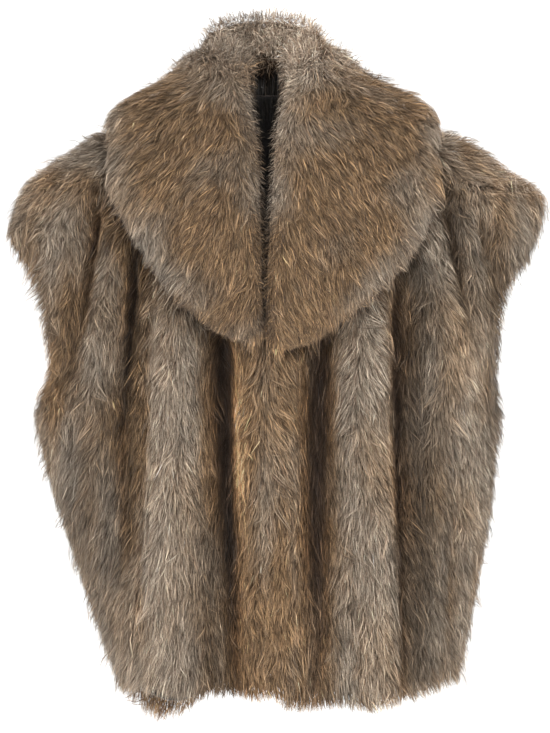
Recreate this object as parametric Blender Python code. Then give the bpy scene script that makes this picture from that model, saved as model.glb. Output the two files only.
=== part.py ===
"""A faux fur vest with a large shawl collar, filled out and hanging as if held at the shoulders.

The front faces -Y, +X is the wearer's left and +Z is up. The origin lies between the shoulders at the
height of the neck seam. Each cut piece of fur is one closed wall that reaches to the tips of the pile.
Tables are in millimetres, and MM turns them into metres.
"""

import math
from collections import namedtuple

import bmesh
import bpy
import numpy as np

MM = 0.001

SEAM_GAP = 0.3
PILE_WALL = 15.0
LEAST_WALL = 9.0
EDGE_PINCH = 0.34
INNER_FOLD_DEPTH = 0.8
INNER_FOLD_WIDTH = 1.4
FOLD_STEEPNESS = 1.5
SQUARENESS = 2.4

NECK_Z = 2.0
BREAK_Z = -264.0
NECKLINE_X = 78.0
NECKLINE_CURVE = 0.6

ARMHOLE_TOP_Z = -176.0
ARMHOLE_LOW_Z = -340.0
ARMHOLE_ROUNDNESS = 0.68
# Degrees that each armhole takes from a panel at its widest, by the side it is on: -1 is the wearer's right.
ARMHOLE_TURN = {("front", -1): 24.0, ("front", 1): 28.0, ("back", -1): 26.0, ("back", 1): 23.0}

ROWS = 33
ROW_SPREAD = 1.3
FRONT_COLUMNS = 22
BACK_COLUMNS = 36
LONG_FADE = 110.0
FADE_SHARE = 0.4
SEAM_FLAT_TURN = 9.0
SLOPE_STEP_TURN = 2.0
SLOPE_STEP_Z = 3.0

# How far the vest reaches at each height: to the wearer's right and left, forward and back.
Section = namedtuple("Section", "height right left front back")
SECTIONS = (
    Section(2, 80, 80, 52, 50),
    Section(-14, 103, 108, 60, 57),
    Section(-28, 138, 146, 67, 64),
    Section(-38, 162, 176, 73, 69),
    Section(-48, 190, 211, 78, 74),
    Section(-66, 214, 244, 87, 82),
    Section(-90, 249, 272, 96, 90),
    Section(-104, 265, 299, 101, 94),
    Section(-120, 273, 310, 106, 97),
    Section(-156, 282, 304, 115, 104),
    Section(-190, 266, 290, 121, 109),
    Section(-240, 248, 268, 126, 113),
    Section(-300, 243, 267, 130, 116),
    Section(-342, 254, 264, 131, 118),
    Section(-400, 243, 256, 132, 120),
    Section(-455, 228, 251, 132, 121),
    Section(-520, 206, 239, 131, 122),
    Section(-580, 187, 228, 130, 122),
    Section(-630, 169, 218, 128, 121),
    Section(-690, 147, 204, 126, 120),
)

# Where the centre front line stands, which leans a little towards the hem.
CentreLine = namedtuple("CentreLine", "height x")
CENTRE_LINE = (
    CentreLine(2, 0),
    CentreLine(-400, 0),
    CentreLine(-520, 2),
    CentreLine(-600, 5),
    CentreLine(-690, 4),
)

# A hem point: its turn round the body, 0 at the centre front and 180 at the centre back, and its height.
HemPoint = namedtuple("HemPoint", "turn height")
HEMS = {
    "front_right": (
        HemPoint(-90, -655),
        HemPoint(-70, -654),
        HemPoint(-46, -657),
        HemPoint(-36, -662),
        HemPoint(-28, -662),
        HemPoint(-18, -658),
        HemPoint(-9, -657),
        HemPoint(-4, -663),
        HemPoint(0, -659),
    ),
    "front_left": (
        HemPoint(0, -659),
        HemPoint(4, -671),
        HemPoint(9, -674),
        HemPoint(16, -669),
        HemPoint(28, -676),
        HemPoint(38, -671),
        HemPoint(48, -663),
        HemPoint(60, -655),
        HemPoint(75, -649),
        HemPoint(90, -646),
    ),
    "back": (
        HemPoint(90, -646),
        HemPoint(110, -643),
        HemPoint(140, -652),
        HemPoint(175, -655),
        HemPoint(198, -660),
        HemPoint(206, -672),
        HemPoint(216, -688),
        HemPoint(228, -690),
        HemPoint(242, -680),
        HemPoint(256, -666),
        HemPoint(270, -655),
    ),
}

# A fold is a valley in the pile. Its line runs through three points, x and z of each, from top to bottom.
# depth is how far it sinks where it is deepest, low_depth how far at its lower end, width its half width.
Fold = namedtuple("Fold", "x_top z_top x_mid z_mid x_low z_low depth low_depth width")
FOLDS = {
    "front_right": (
        Fold(-46, -200, -42, -420, -34, -690, 34, 12, 12),
        Fold(-121, -150, -132, -400, -154, -690, 10, 8, 9),
        Fold(-139, -130, -157, -370, -158, -610, 17, 8, 13),
        Fold(-174, -80, -193, -200, -217, -330, 18, 7, 12),
        Fold(-196, -340, -209, -410, -224, -500, 9, 4, 11),
        Fold(-206, -400, -190, -540, -160, -690, 8, 10, 12),
    ),
    "front_left": (
        Fold(61, -200, 60, -440, 50, -690, 32, 12, 14),
        Fold(144, -150, 151, -400, 154, -690, 25, 10, 12),
        Fold(192, -90, 208, -164, 232, -290, 14, 5, 10),
        Fold(232, -110, 244, -170, 256, -240, 10, 4, 9),
        Fold(214, -330, 212, -500, 196, -690, 8, 10, 14),
        Fold(104, -480, 103, -600, 102, -690, 6, 9, 13),
    ),
    "back": (
        Fold(-184, -190, -170, -430, -114, -690, 12, 12, 18),
        Fold(-108, -90, -90, -400, -76, -690, 26, 15, 19),
        Fold(-26, -160, -14, -430, -4, -690, 15, 13, 17),
        Fold(78, -100, 84, -400, 70, -690, 28, 16, 20),
        Fold(158, -150, 166, -430, 142, -690, 14, 12, 17),
        Fold(-206, -70, -208, -170, -206, -330, 9, 4, 18),
        Fold(218, -70, 220, -170, 216, -330, 9, 4, 18),
    ),
}
# The folds that the columns of a front's grid follow, by their place in the table.
GUIDE_FOLDS = (0, 1)
GUIDE_COLUMNS = (4, 10)
GUIDE_LEAST = 0.04
GUIDE_SPACE = 0.08
GUIDE_MOST = (0.84, 0.92)

# A cross section of half the collar. The roll is the axis of its thick inner edge, which stands round the
# neck, and the edge is the tip of the fall that lies on the body. The halves are half thicknesses.
CollarSection = namedtuple(
    "CollarSection", "roll_x roll_y roll_z edge_x edge_y edge_z roll_half fall_half"
)
COLLARS = {
    "collar_right": (
        CollarSection(-0, 62, 62, -0, 100, -66, 21, 13),
        CollarSection(-30, 60, 61, -84, 94, -68, 21, 13),
        CollarSection(-62, 38, 50, -136, 62, -62, 20, 12),
        CollarSection(-56, 10, 39, -153, 10, -36, 20, 12),
        CollarSection(-42, -18, 28, -164, -66, -80, 22, 12),
        CollarSection(-30, -44, 8, -171, -88, -112, 23, 15),
        CollarSection(-17, -68, -28, -158, -99, -142, 24, 16),
        CollarSection(-12, -92, -74, -138, -109, -176, 24, 16),
        CollarSection(-11, -112, -124, -112, -117, -212, 23, 15),
        CollarSection(-11, -124, -174, -78, -124, -246, 21, 14),
        CollarSection(-8, -132, -220, -46, -128, -268, 18, 12),
        CollarSection(-4, -134, -248, -20, -132, -277, 12, 9),
        CollarSection(-2, -134, -262, -8, -133, -276, 6, 5),
    ),
    "collar_left": (
        CollarSection(0, 62, 62, 0, 100, -66, 21, 13),
        CollarSection(32, 60, 61, 92, 94, -68, 21, 13),
        CollarSection(62, 38, 49, 150, 66, -60, 20, 14),
        CollarSection(61, 10, 43, 168, 10, -40, 22, 15),
        CollarSection(48, -18, 30, 183, -70, -84, 23, 13),
        CollarSection(34, -44, 8, 192, -88, -114, 23, 15),
        CollarSection(19, -68, -28, 181, -98, -146, 24, 16),
        CollarSection(12, -92, -74, 160, -108, -184, 24, 16),
        CollarSection(11, -112, -124, 130, -115, -218, 23, 15),
        CollarSection(11, -124, -174, 90, -122, -250, 21, 14),
        CollarSection(8, -132, -220, 52, -128, -276, 18, 12),
        CollarSection(4, -134, -248, 22, -132, -284, 12, 9),
        CollarSection(2, -134, -264, 9, -133, -282, 6, 5),
    ),
}
COLLAR_STATIONS = 34
COLLAR_LOOP = 20
COLLAR_FULLNESS = 0.3
ROLL_SPREAD = 0.24
REST_FROM = 0.3
REST_GAP = 1.1
RIDGE_GAP = 2.8
ROLL_LIFT = 0.5
LIFT_LOOK_AT = 0.55
DOME_Z = 26.0
LEAST_DOME = 0.001
MOST_PUSH = 60.0
MOST_SINK = 9.0
PUSH_HALVINGS = 24

FUR_COLOURS = {
    "front_right": (0.262, 0.190, 0.130),
    "front_left": (0.262, 0.190, 0.130),
    "back": (0.235, 0.168, 0.115),
    "collar_right": (0.330, 0.225, 0.125),
    "collar_left": (0.330, 0.225, 0.125),
}
FUR_ROUGHNESS = 0.85


def clear_scene():
    """Removes whatever the scene holds at the start."""
    for thing in list(bpy.data.objects):
        bpy.data.objects.remove(thing, do_unlink=True)


def fur_material(name):
    """The pile of one piece, dull and not metallic."""
    material = bpy.data.materials.new(name + "_fur")
    material.use_nodes = True
    shader = material.node_tree.nodes["Principled BSDF"]
    shader.inputs["Base Color"].default_value = (*FUR_COLOURS[name], 1.0)
    shader.inputs["Roughness"].default_value = FUR_ROUGHNESS
    shader.inputs["Metallic"].default_value = 0.0
    return material


def smooth_step(value):
    """0 below 0, 1 above 1, with a smooth rise between."""
    share = np.clip(value, 0.0, 1.0)
    return share * share * (3.0 - 2.0 * share)


def slopes(keys, values):
    """Slopes at a table's rows that never let the curve between two rows overshoot them."""
    steps = np.diff(values) / np.diff(keys)
    middle = np.zeros(len(keys))
    for i in range(1, len(keys) - 1):
        before, after = steps[i - 1], steps[i]
        if before * after > 0:
            middle[i] = 2 * before * after / (before + after)
    middle[0], middle[-1] = steps[0], steps[-1]
    return middle


def along(table, key, column, at):
    """A smooth curve through one column of a table, read at many places and held at its ends."""
    rows = sorted(table, key=lambda row: getattr(row, key))
    keys = np.array([getattr(row, key) for row in rows], float)
    values = np.array([getattr(row, column) for row in rows], float)
    rise = slopes(keys, values)
    at = np.clip(np.asarray(at, float), keys[0], keys[-1])
    i = np.clip(np.searchsorted(keys, at) - 1, 0, len(keys) - 2)
    span = keys[i + 1] - keys[i]
    t = (at - keys[i]) / span
    return (
        values[i] * (1 + 2 * t) * (1 - t) ** 2
        + values[i + 1] * (3 - 2 * t) * t**2
        + rise[i] * span * t * (1 - t) ** 2
        - rise[i + 1] * span * t**2 * (1 - t)
    )


def armhole_share(z):
    """0 at the armhole's low end and below it, 1 at its top and above it."""
    return np.clip((z - ARMHOLE_LOW_Z) / (ARMHOLE_TOP_Z - ARMHOLE_LOW_Z), 0.0, 1.0)


def armhole_cut(z, part, side):
    """How many degrees the armhole takes from a panel at each height."""
    return ARMHOLE_TURN[part, side] * np.sin(math.pi * armhole_share(z)) ** ARMHOLE_ROUNDNESS


def across(turn):
    """How far out a point lies at a turn from the front or back, as a share of the half width."""
    return np.sin(np.radians(turn)) ** (2 / SQUARENESS)


def reach(z, side):
    """Half width of the full section. Beside the armhole the panel's edge has the table's reach."""
    width = along(SECTIONS, "height", "right" if side < 0 else "left", z)
    widest = min(ARMHOLE_TURN["front", side], ARMHOLE_TURN["back", side])
    return width / across(90.0 - widest * np.sin(math.pi * armhole_share(z)))


def depth(z, part):
    """How far the section reaches forward or back."""
    return along(SECTIONS, "height", part, z)


def base_point(turn, z):
    """The surface over the folds. turn runs from 0 at the front over 90 at the wearer's left."""
    angle = np.radians(turn)
    sine, cosine = np.sin(angle), np.cos(angle)
    width = np.where(sine < 0, reach(z, -1), reach(z, 1))
    deep = np.where(cosine > 0, depth(z, "front"), depth(z, "back"))
    power = 2 / SQUARENESS
    x = width * np.sign(sine) * np.abs(sine) ** power
    y = -deep * np.sign(cosine) * np.abs(cosine) ** power
    lean = along(CENTRE_LINE, "height", "x", z)
    return np.stack([x + lean * np.clip(cosine, 0, 1), y, np.broadcast_to(z, x.shape)], -1)


def base_normal(turn, z):
    """The outward direction of that surface."""
    round_body = base_point(turn + SLOPE_STEP_TURN, z) - base_point(turn - SLOPE_STEP_TURN, z)
    high = np.minimum(z + SLOPE_STEP_Z, NECK_Z)
    up = base_point(turn, high) - base_point(turn, high - 2 * SLOPE_STEP_Z)
    normal = np.cross(round_body, up)
    return normal / np.linalg.norm(normal, axis=-1, keepdims=True)


def turn_at(x, z, part):
    """The turn at which the surface lies at this x, on the front or the back."""
    side = np.sign(x)
    share = np.clip(np.abs(x) / np.where(side < 0, reach(z, -1), reach(z, 1)), 0.0, 1.0)
    turn = np.degrees(np.arcsin(share ** (SQUARENESS / 2)))
    return side * turn if part == "front" else 180.0 - side * turn


def fold_line(fold, z):
    """The x of a fold's valley at a height, on a parabola through its three points."""
    z = np.clip(z, fold.z_low, fold.z_top)
    points = (
        (fold.x_top, fold.z_top),
        (fold.x_mid, fold.z_mid),
        (fold.x_low, fold.z_low),
    )
    total = 0.0
    for i, (x, height) in enumerate(points):
        share = 1.0
        for j, (_, other) in enumerate(points):
            if j != i:
                share = share * (z - other) / (height - other)
        total = total + x * share
    return total


def fold_sink(name, part, turn, z, wider):
    """How far the folds sink the surface at each point."""
    total = np.zeros(np.broadcast(turn, z).shape)
    for fold in FOLDS[name]:
        line = turn_at(fold_line(fold, z), z, part)
        angle = np.radians(turn)
        scale = np.hypot(
            np.where(np.sin(angle) < 0, reach(z, -1), reach(z, 1)) * np.cos(angle),
            depth(z, part) * np.sin(angle),
        )
        away = np.radians(turn - line) * scale / (fold.width * wider)
        down = np.clip((fold.z_top - z) / (fold.z_top - fold.z_low), 0.0, 1.0)
        deep = fold.depth + (fold.low_depth - fold.depth) * down**2
        length = min(LONG_FADE, FADE_SHARE * (fold.z_top - fold.z_low))
        fade = smooth_step((fold.z_top - z) / length)
        if fold.z_low > SECTIONS[-1].height:
            fade = fade * smooth_step((z - fold.z_low) / length)
        total += deep * fade / (1 + away**2) ** FOLD_STEEPNESS
    from_seam = np.abs(np.abs((turn + 180.0) % 360.0 - 180.0) - 90.0)
    return total * smooth_step(from_seam / SEAM_FLAT_TURN)


def panel_walls(name, part, turn, z, free_edges):
    """Outer and inner grids of a panel. free_edges is 1 on rows and columns that end in open air."""
    base, normal = base_point(turn, z), base_normal(turn, z)
    outer_in = fold_sink(name, part, turn, z, 1.0)
    inner_in = INNER_FOLD_DEPTH * fold_sink(name, part, turn, z, INNER_FOLD_WIDTH) + PILE_WALL
    inner_in = np.maximum(inner_in, outer_in + LEAST_WALL)
    pinch = EDGE_PINCH * free_edges * (inner_in - outer_in)
    outer = base - normal * (outer_in + pinch)[..., None]
    inner = base - normal * (inner_in - pinch)[..., None]
    return outer, inner


def row_heights(hem):
    """Heights of a grid's rows, closer together at the shoulders. hem has a value for each column."""
    share = (np.arange(ROWS) / (ROWS - 1)) ** ROW_SPREAD
    return NECK_Z + share[:, None] * (hem[None, :] - NECK_Z)


def front_grid(name):
    """Turn and height of each grid point of a front, from the centre edge to the side."""
    side = -1 if name == "front_right" else 1
    column = np.arange(FRONT_COLUMNS)
    hem = along(HEMS[name], "turn", "height", side * 90 * column / column[-1])
    z = row_heights(hem)
    rise = np.clip((z - BREAK_Z) / (NECK_Z - BREAK_Z), 0.0, 1.0)
    neckline = SEAM_GAP / 2 + NECKLINE_X * rise**NECKLINE_CURVE
    start = np.abs(turn_at(side * neckline, z, "front"))
    end = 90.0 - armhole_cut(z, "front", side)
    marks = [np.zeros_like(z)]
    for i in GUIDE_FOLDS:
        line = np.abs(turn_at(fold_line(FOLDS[name][i], z), z, "front"))
        marks.append((line - start) / (end - start))
    marks.append(np.ones_like(z))
    marks[1] = np.clip(marks[1], GUIDE_LEAST, GUIDE_MOST[0])
    marks[2] = np.clip(marks[2], marks[1] + GUIDE_SPACE, GUIDE_MOST[1])
    knots = (0, *GUIDE_COLUMNS, FRONT_COLUMNS - 1)
    share = np.zeros_like(z)
    for low, high, before, after in zip(knots, knots[1:], marks, marks[1:]):
        inside = np.clip((column - low) / (high - low), 0.0, 1.0)
        share += (after - before) * inside[None, :]
    return side * (start + share * (end - start)), z


def back_grid():
    """Turn and height of each grid point of the back, from the wearer's left side to the right one."""
    column = np.linspace(0.0, 1.0, BACK_COLUMNS)
    hem = along(HEMS["back"], "turn", "height", 90 + 180 * column)
    z = row_heights(hem)
    start = 90.0 + armhole_cut(z, "back", 1)
    end = 270.0 - armhole_cut(z, "back", -1)
    return start + column[None, :] * (end - start), z


def edge_marks(z, open_first, open_last):
    """1 where the wall ends in open air: at the top and hem rows, and at a side column where it is open."""
    marks = np.zeros_like(z)
    marks[0, :] = 1.0
    marks[-1, :] = 1.0
    marks[:, 0] = np.maximum(marks[:, 0], open_first)
    marks[:, -1] = np.maximum(marks[:, -1], open_last)
    return marks


def in_armhole(z):
    """1 at heights where the side of a panel is an armhole edge."""
    return ((z < ARMHOLE_TOP_Z) & (z > ARMHOLE_LOW_Z)).astype(float)


def wall_object(name, outer, inner):
    """One closed wall from two grids of points, joined round their edges."""
    rows, columns = outer.shape[:2]
    count = rows * columns
    points = np.concatenate([outer.reshape(-1, 3), inner.reshape(-1, 3)]) * MM
    faces = []
    for r in range(rows - 1):
        for c in range(columns - 1):
            a = r * columns + c
            quad = (a, a + 1, a + columns + 1, a + columns)
            faces.append(quad)
            faces.append(tuple(count + i for i in reversed(quad)))
    rim = list(range(columns))
    rim += [r * columns + columns - 1 for r in range(1, rows)]
    rim += [(rows - 1) * columns + c for c in range(columns - 2, -1, -1)]
    rim += [r * columns for r in range(rows - 2, 0, -1)]
    for a, b in zip(rim, rim[1:] + rim[:1]):
        faces.append((a, count + a, count + b, b))
    return finished_object(name, points, faces)


def finished_object(name, points, faces):
    """A mesh object with its faces pointing out, shaded smooth, in its own fur."""
    mesh = bpy.data.meshes.new(name)
    mesh.from_pydata([tuple(p) for p in points], [], faces)
    shape = bmesh.new()
    shape.from_mesh(mesh)
    bmesh.ops.recalc_face_normals(shape, faces=shape.faces)
    shape.to_mesh(mesh)
    shape.free()
    mesh.shade_smooth()
    mesh.materials.append(fur_material(name))
    thing = bpy.data.objects.new(name, mesh)
    bpy.context.scene.collection.objects.link(thing)
    return thing


def make_front(name):
    """A front panel, with its seam side held half a gap away from the side and shoulder seams."""
    turn, z = front_grid(name)
    marks = edge_marks(z, 1.0, in_armhole(z[:, -1]))
    outer, inner = panel_walls(name, "front", turn, z, marks)
    for grid in (outer, inner):
        grid[:, -1, 1] -= SEAM_GAP / 2
        side = -1 if name == "front_right" else 1
        centre = along(CENTRE_LINE, "height", "x", z[:, 0])
        clear = side * (grid[:, 0, 0] - centre)
        grid[:, 0, 0] += side * np.maximum(SEAM_GAP / 2 - clear, 0.0)
    wall_object(name, outer, inner)


def make_back():
    """The back panel."""
    turn, z = back_grid()
    armhole = in_armhole(z[:, 0])
    outer, inner = panel_walls("back", "back", turn, z, edge_marks(z, armhole, armhole))
    for grid in (outer, inner):
        grid[:, 0, 1] += SEAM_GAP / 2
        grid[:, -1, 1] += SEAM_GAP / 2
    wall_object("back", outer, inner)


def fullness(point):
    """Below 1 inside the body's surface and above 1 outside. The neck hole counts as a low dome."""
    x, y, z = point
    shrink = 1.0
    if z > NECK_Z:
        shrink = math.sqrt(max(1.0 - ((z - NECK_Z) / (DOME_Z - NECK_Z)) ** 2, LEAST_DOME**2))
    level = np.array([z])
    width = reach(level, -1 if x < 0 else 1)[0] * shrink
    deep = depth(level, "front" if y < 0 else "back")[0] * shrink
    return (abs(x) / width) ** SQUARENESS + (abs(y) / deep) ** SQUARENESS


def outward(point):
    """The direction in which fullness grows fastest."""
    step = 1.0
    gradient = np.array(
        [
            fullness(point + step * axis) - fullness(point - step * axis)
            for axis in np.eye(3)
        ]
    )
    return gradient / np.linalg.norm(gradient)


def push_to_rest(point, direction, clearance):
    """How far to move a point so that it lies this clear of the body's surface. It may be negative."""
    low, high = -MOST_PUSH, MOST_PUSH
    foot = point - clearance * direction
    for _ in range(PUSH_HALVINGS):
        middle = (low + high) / 2
        if fullness(foot + middle * direction) < 1.0:
            low = middle
        else:
            high = middle
    return high


def collar_section(row, side):
    """One closed loop of points round the collar half, given its interpolated table row."""
    roll = np.array([row.roll_x, row.roll_y, row.roll_z])
    edge = np.array([row.edge_x, row.edge_y, row.edge_z])
    length = np.linalg.norm(edge - roll)
    ahead = (edge - roll) / length
    out = outward(roll + LIFT_LOOK_AT * (edge - roll))
    out = out - ahead * out.dot(ahead)
    out = out / np.linalg.norm(out)
    clearance = REST_GAP + RIDGE_GAP * out[2] ** 2
    loop = []
    for i in range(COLLAR_LOOP):
        angle = 2 * math.pi * i / COLLAR_LOOP
        share = 0.5 - 0.5 * math.cos(angle)
        swell = math.exp(-((share / ROLL_SPREAD) ** 2))
        half = row.fall_half + (row.roll_half - row.fall_half) * swell
        half *= (4 * share * (1 - share)) ** COLLAR_FULLNESS
        spine = roll - row.roll_half * ahead + (length + row.roll_half) * share * ahead
        resting = float(smooth_step(share / REST_FROM))
        rest = max(push_to_rest(spine, out, half + clearance), -MOST_SINK)
        moved = resting * rest + (1 - resting) * ROLL_LIFT * max(rest, 0.0)
        spine = spine + moved * out
        above = math.sin(angle) >= 0
        point = spine + (half if above else -half) * out
        if not above:
            point = point + max(push_to_rest(point, out, clearance), 0.0) * out
        loop.append(point)
    loop = np.array(loop)
    clear = side * loop[:, 0]
    loop[:, 0] += side * np.maximum(SEAM_GAP / 2 - clear, 0.0)
    return loop


def make_collar(name):
    """Half of the shawl collar, a puffy wall lofted from the centre back to the break point."""
    table = COLLARS[name]
    side = -1 if name == "collar_right" else 1
    Row = namedtuple("Row", ("place",) + CollarSection._fields)
    rows = [Row(i, *section) for i, section in enumerate(table)]
    loops = []
    for place in np.linspace(0, len(table) - 1, COLLAR_STATIONS):
        values = [
            float(along(rows, "place", column, place)) for column in CollarSection._fields
        ]
        loops.append(collar_section(CollarSection(*values), side))
    points = np.concatenate(loops) * MM
    faces = []
    for s in range(COLLAR_STATIONS - 1):
        for i in range(COLLAR_LOOP):
            a = s * COLLAR_LOOP + i
            b = s * COLLAR_LOOP + (i + 1) % COLLAR_LOOP
            faces.append((a, b, b + COLLAR_LOOP, a + COLLAR_LOOP))
    last = (COLLAR_STATIONS - 1) * COLLAR_LOOP
    for start in (0, last):
        for i in range(1, COLLAR_LOOP // 2):
            a, b = start + i, start + i + 1
            c, d = start + COLLAR_LOOP - i - 1, start + COLLAR_LOOP - i
            faces.append((a, b, c, d) if b != c else (a, b, d))
        faces.append((start, start + 1, start + COLLAR_LOOP - 1))
    finished_object(name, points, faces)


def main():
    clear_scene()
    make_front("front_right")
    make_front("front_left")
    make_back()
    make_collar("collar_right")
    make_collar("collar_left")


main()
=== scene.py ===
"""The looks of a faux fur vest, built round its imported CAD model.

Each cut piece gets a thin backing cloth on the form of its solid, and a fur of many thousand hairs that
stand on the cloth and end at the solid's outer face. Tables are in millimetres, and MM makes them metres.
The front faces -Y, +X is the wearer's left and +Z is up.
"""

import math
from collections import namedtuple

import bmesh
import bpy
import numpy as np
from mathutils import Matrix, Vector
from mathutils.bvhtree import BVHTree
from mathutils.kdtree import KDTree


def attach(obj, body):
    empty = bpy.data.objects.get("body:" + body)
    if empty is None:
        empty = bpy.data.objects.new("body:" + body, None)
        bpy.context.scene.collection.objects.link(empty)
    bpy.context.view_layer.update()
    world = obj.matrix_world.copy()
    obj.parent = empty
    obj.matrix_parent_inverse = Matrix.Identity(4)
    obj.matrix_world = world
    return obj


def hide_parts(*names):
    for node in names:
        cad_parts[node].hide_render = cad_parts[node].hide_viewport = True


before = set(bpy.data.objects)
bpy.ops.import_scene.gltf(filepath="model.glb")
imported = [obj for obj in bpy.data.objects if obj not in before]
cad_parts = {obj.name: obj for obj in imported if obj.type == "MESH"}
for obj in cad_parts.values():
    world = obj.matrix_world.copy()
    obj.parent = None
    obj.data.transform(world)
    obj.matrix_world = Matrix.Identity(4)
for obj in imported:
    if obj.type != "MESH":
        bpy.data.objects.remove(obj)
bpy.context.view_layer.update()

MM = 0.001


def tables(kind, named):
    """Tables by name whose rows have the columns of one kind."""
    return {name: [kind(*row) for row in rows] for name, rows in named.items()}


# The view of the photograph: 1.094 mm of the vest to a pixel, on a plane a little before the side seams.
FRAME_HEIGHT = 801.9
FRAME_Y = 0.0
CAMERA_X = 12.0
CAMERA_Y = -9000.0
CAMERA_Z = -302.5
SENSOR = 36.0

# The form of the vest, as in its solids.
SEAM_GAP = 0.3
PILE_WALL = 15.0
LEAST_WALL = 9.0
INNER_FOLD_DEPTH = 0.8
INNER_FOLD_WIDTH = 1.4
FOLD_STEEPNESS = 1.5
SQUARENESS = 2.4
NECK_Z = 2.0
BREAK_Z = -264.0
NECKLINE_X = 78.0
NECKLINE_CURVE = 0.6
ARMHOLE_TOP_Z = -176.0
ARMHOLE_LOW_Z = -340.0
ARMHOLE_ROUNDNESS = 0.68
ARMHOLE_TURN = {("front", -1): 24.0, ("front", 1): 28.0, ("back", -1): 26.0, ("back", 1): 23.0}
LONG_FADE = 110.0
FADE_SHARE = 0.4
SEAM_FLAT_TURN = 9.0
SLOPE_STEP_TURN = 2.0
SLOPE_STEP_Z = 3.0

# How far the vest reaches at each height: to the wearer's right and left, forward and back.
Section = namedtuple("Section", "height right left front back")
SECTIONS = (
    Section(2, 80, 80, 52, 50),
    Section(-14, 103, 108, 60, 57),
    Section(-28, 138, 146, 67, 64),
    Section(-38, 162, 176, 73, 69),
    Section(-48, 190, 211, 78, 74),
    Section(-66, 214, 244, 87, 82),
    Section(-90, 249, 272, 96, 90),
    Section(-104, 265, 299, 101, 94),
    Section(-120, 273, 310, 106, 97),
    Section(-156, 282, 304, 115, 104),
    Section(-190, 266, 290, 121, 109),
    Section(-240, 248, 268, 126, 113),
    Section(-300, 243, 267, 130, 116),
    Section(-342, 254, 264, 131, 118),
    Section(-400, 243, 256, 132, 120),
    Section(-455, 228, 251, 132, 121),
    Section(-520, 206, 239, 131, 122),
    Section(-580, 187, 228, 130, 122),
    Section(-630, 169, 218, 128, 121),
    Section(-690, 147, 204, 126, 120),
)

CentreLine = namedtuple("CentreLine", "height x")
CENTRE_LINE = (
    CentreLine(2, 0),
    CentreLine(-400, 0),
    CentreLine(-520, 2),
    CentreLine(-600, 5),
    CentreLine(-690, 4),
)

# A hem point: its turn round the body, 0 at the centre front and 180 at the centre back, and its height.
HemPoint = namedtuple("HemPoint", "turn height")
HEMS = tables(HemPoint, {
    "front_right": (
        (-90, -655), (-70, -654), (-46, -657), (-36, -662), (-28, -662), (-18, -658),
        (-9, -657), (-4, -663), (0, -659),
    ),
    "front_left": (
        (0, -659), (4, -671), (9, -674), (16, -669), (28, -676), (38, -671),
        (48, -663), (60, -655), (75, -649), (90, -646),
    ),
    "back": (
        (90, -646), (110, -643), (140, -652), (175, -655), (198, -660), (206, -672),
        (216, -688), (228, -690), (242, -680), (256, -666), (270, -655),
    ),
})

# A fold is a valley in the pile. Its line runs through three points, x and z of each, from top to bottom.
# depth is how far it sinks where it is deepest, low_depth how far at its lower end, width its half width.
Fold = namedtuple("Fold", "x_top z_top x_mid z_mid x_low z_low depth low_depth width")
FOLDS = tables(Fold, {
    "front_right": (
        (-46, -200, -42, -420, -34, -690, 34, 12, 12),
        (-121, -150, -132, -400, -154, -690, 10, 8, 9),
        (-139, -130, -157, -370, -158, -610, 17, 8, 13),
        (-174, -80, -193, -200, -217, -330, 18, 7, 12),
        (-196, -340, -209, -410, -224, -500, 9, 4, 11),
        (-206, -400, -190, -540, -160, -690, 8, 10, 12),
    ),
    "front_left": (
        (61, -200, 60, -440, 50, -690, 32, 12, 14),
        (144, -150, 151, -400, 154, -690, 25, 10, 12),
        (192, -90, 208, -164, 232, -290, 14, 5, 10),
        (232, -110, 244, -170, 256, -240, 10, 4, 9),
        (214, -330, 212, -500, 196, -690, 8, 10, 14),
        (104, -480, 103, -600, 102, -690, 6, 9, 13),
    ),
    "back": (
        (-184, -190, -170, -430, -114, -690, 12, 12, 18),
        (-108, -90, -90, -400, -76, -690, 26, 15, 19),
        (-26, -160, -14, -430, -4, -690, 15, 13, 17),
        (78, -100, 84, -400, 70, -690, 28, 16, 20),
        (158, -150, 166, -430, 142, -690, 14, 12, 17),
        (-206, -70, -208, -170, -206, -330, 9, 4, 18),
        (218, -70, 220, -170, 216, -330, 9, 4, 18),
    ),
})

# Narrow creases in the pile that the solids leave out, and soft hollows beside the folds.
CREASES = tables(Fold, {
    "front_right": (
        (-176, -96, -191, -180, -204, -262, 8, 5, 5),
        (-138, -150, -143, -235, -157, -330, 7, 4, 6),
        (-68, -210, -66, -430, -62, -600, 6, 3, 16),
        (-100, -420, -96, -560, -98, -690, 3, 4, 14),
        (-180, -360, -184, -440, -190, -500, 4, 2, 8),
    ),
    "front_left": (
        (190, -106, 206, -164, 224, -226, 9, 5, 5),
        (232, -128, 243, -172, 254, -204, 8, 5, 5),
        (164, -200, 170, -400, 176, -640, 9, 4, 20),
        (42, -260, 42, -460, 36, -640, 6, 3, 14),
        (128, -330, 122, -520, 124, -690, 3, 4, 15),
    ),
    "back": (
        (-150, -120, -140, -330, -122, -560, 5, 3, 14),
        (-52, -140, -48, -420, -38, -690, 5, 4, 12),
        (40, -120, 44, -380, 42, -650, 4, 4, 13),
        (132, -140, 128, -360, 116, -600, 5, 3, 12),
        (205, -330, 200, -480, 186, -650, 5, 4, 10),
        (-204, -330, -192, -480, -158, -650, 6, 4, 10),
    ),
})

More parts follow.
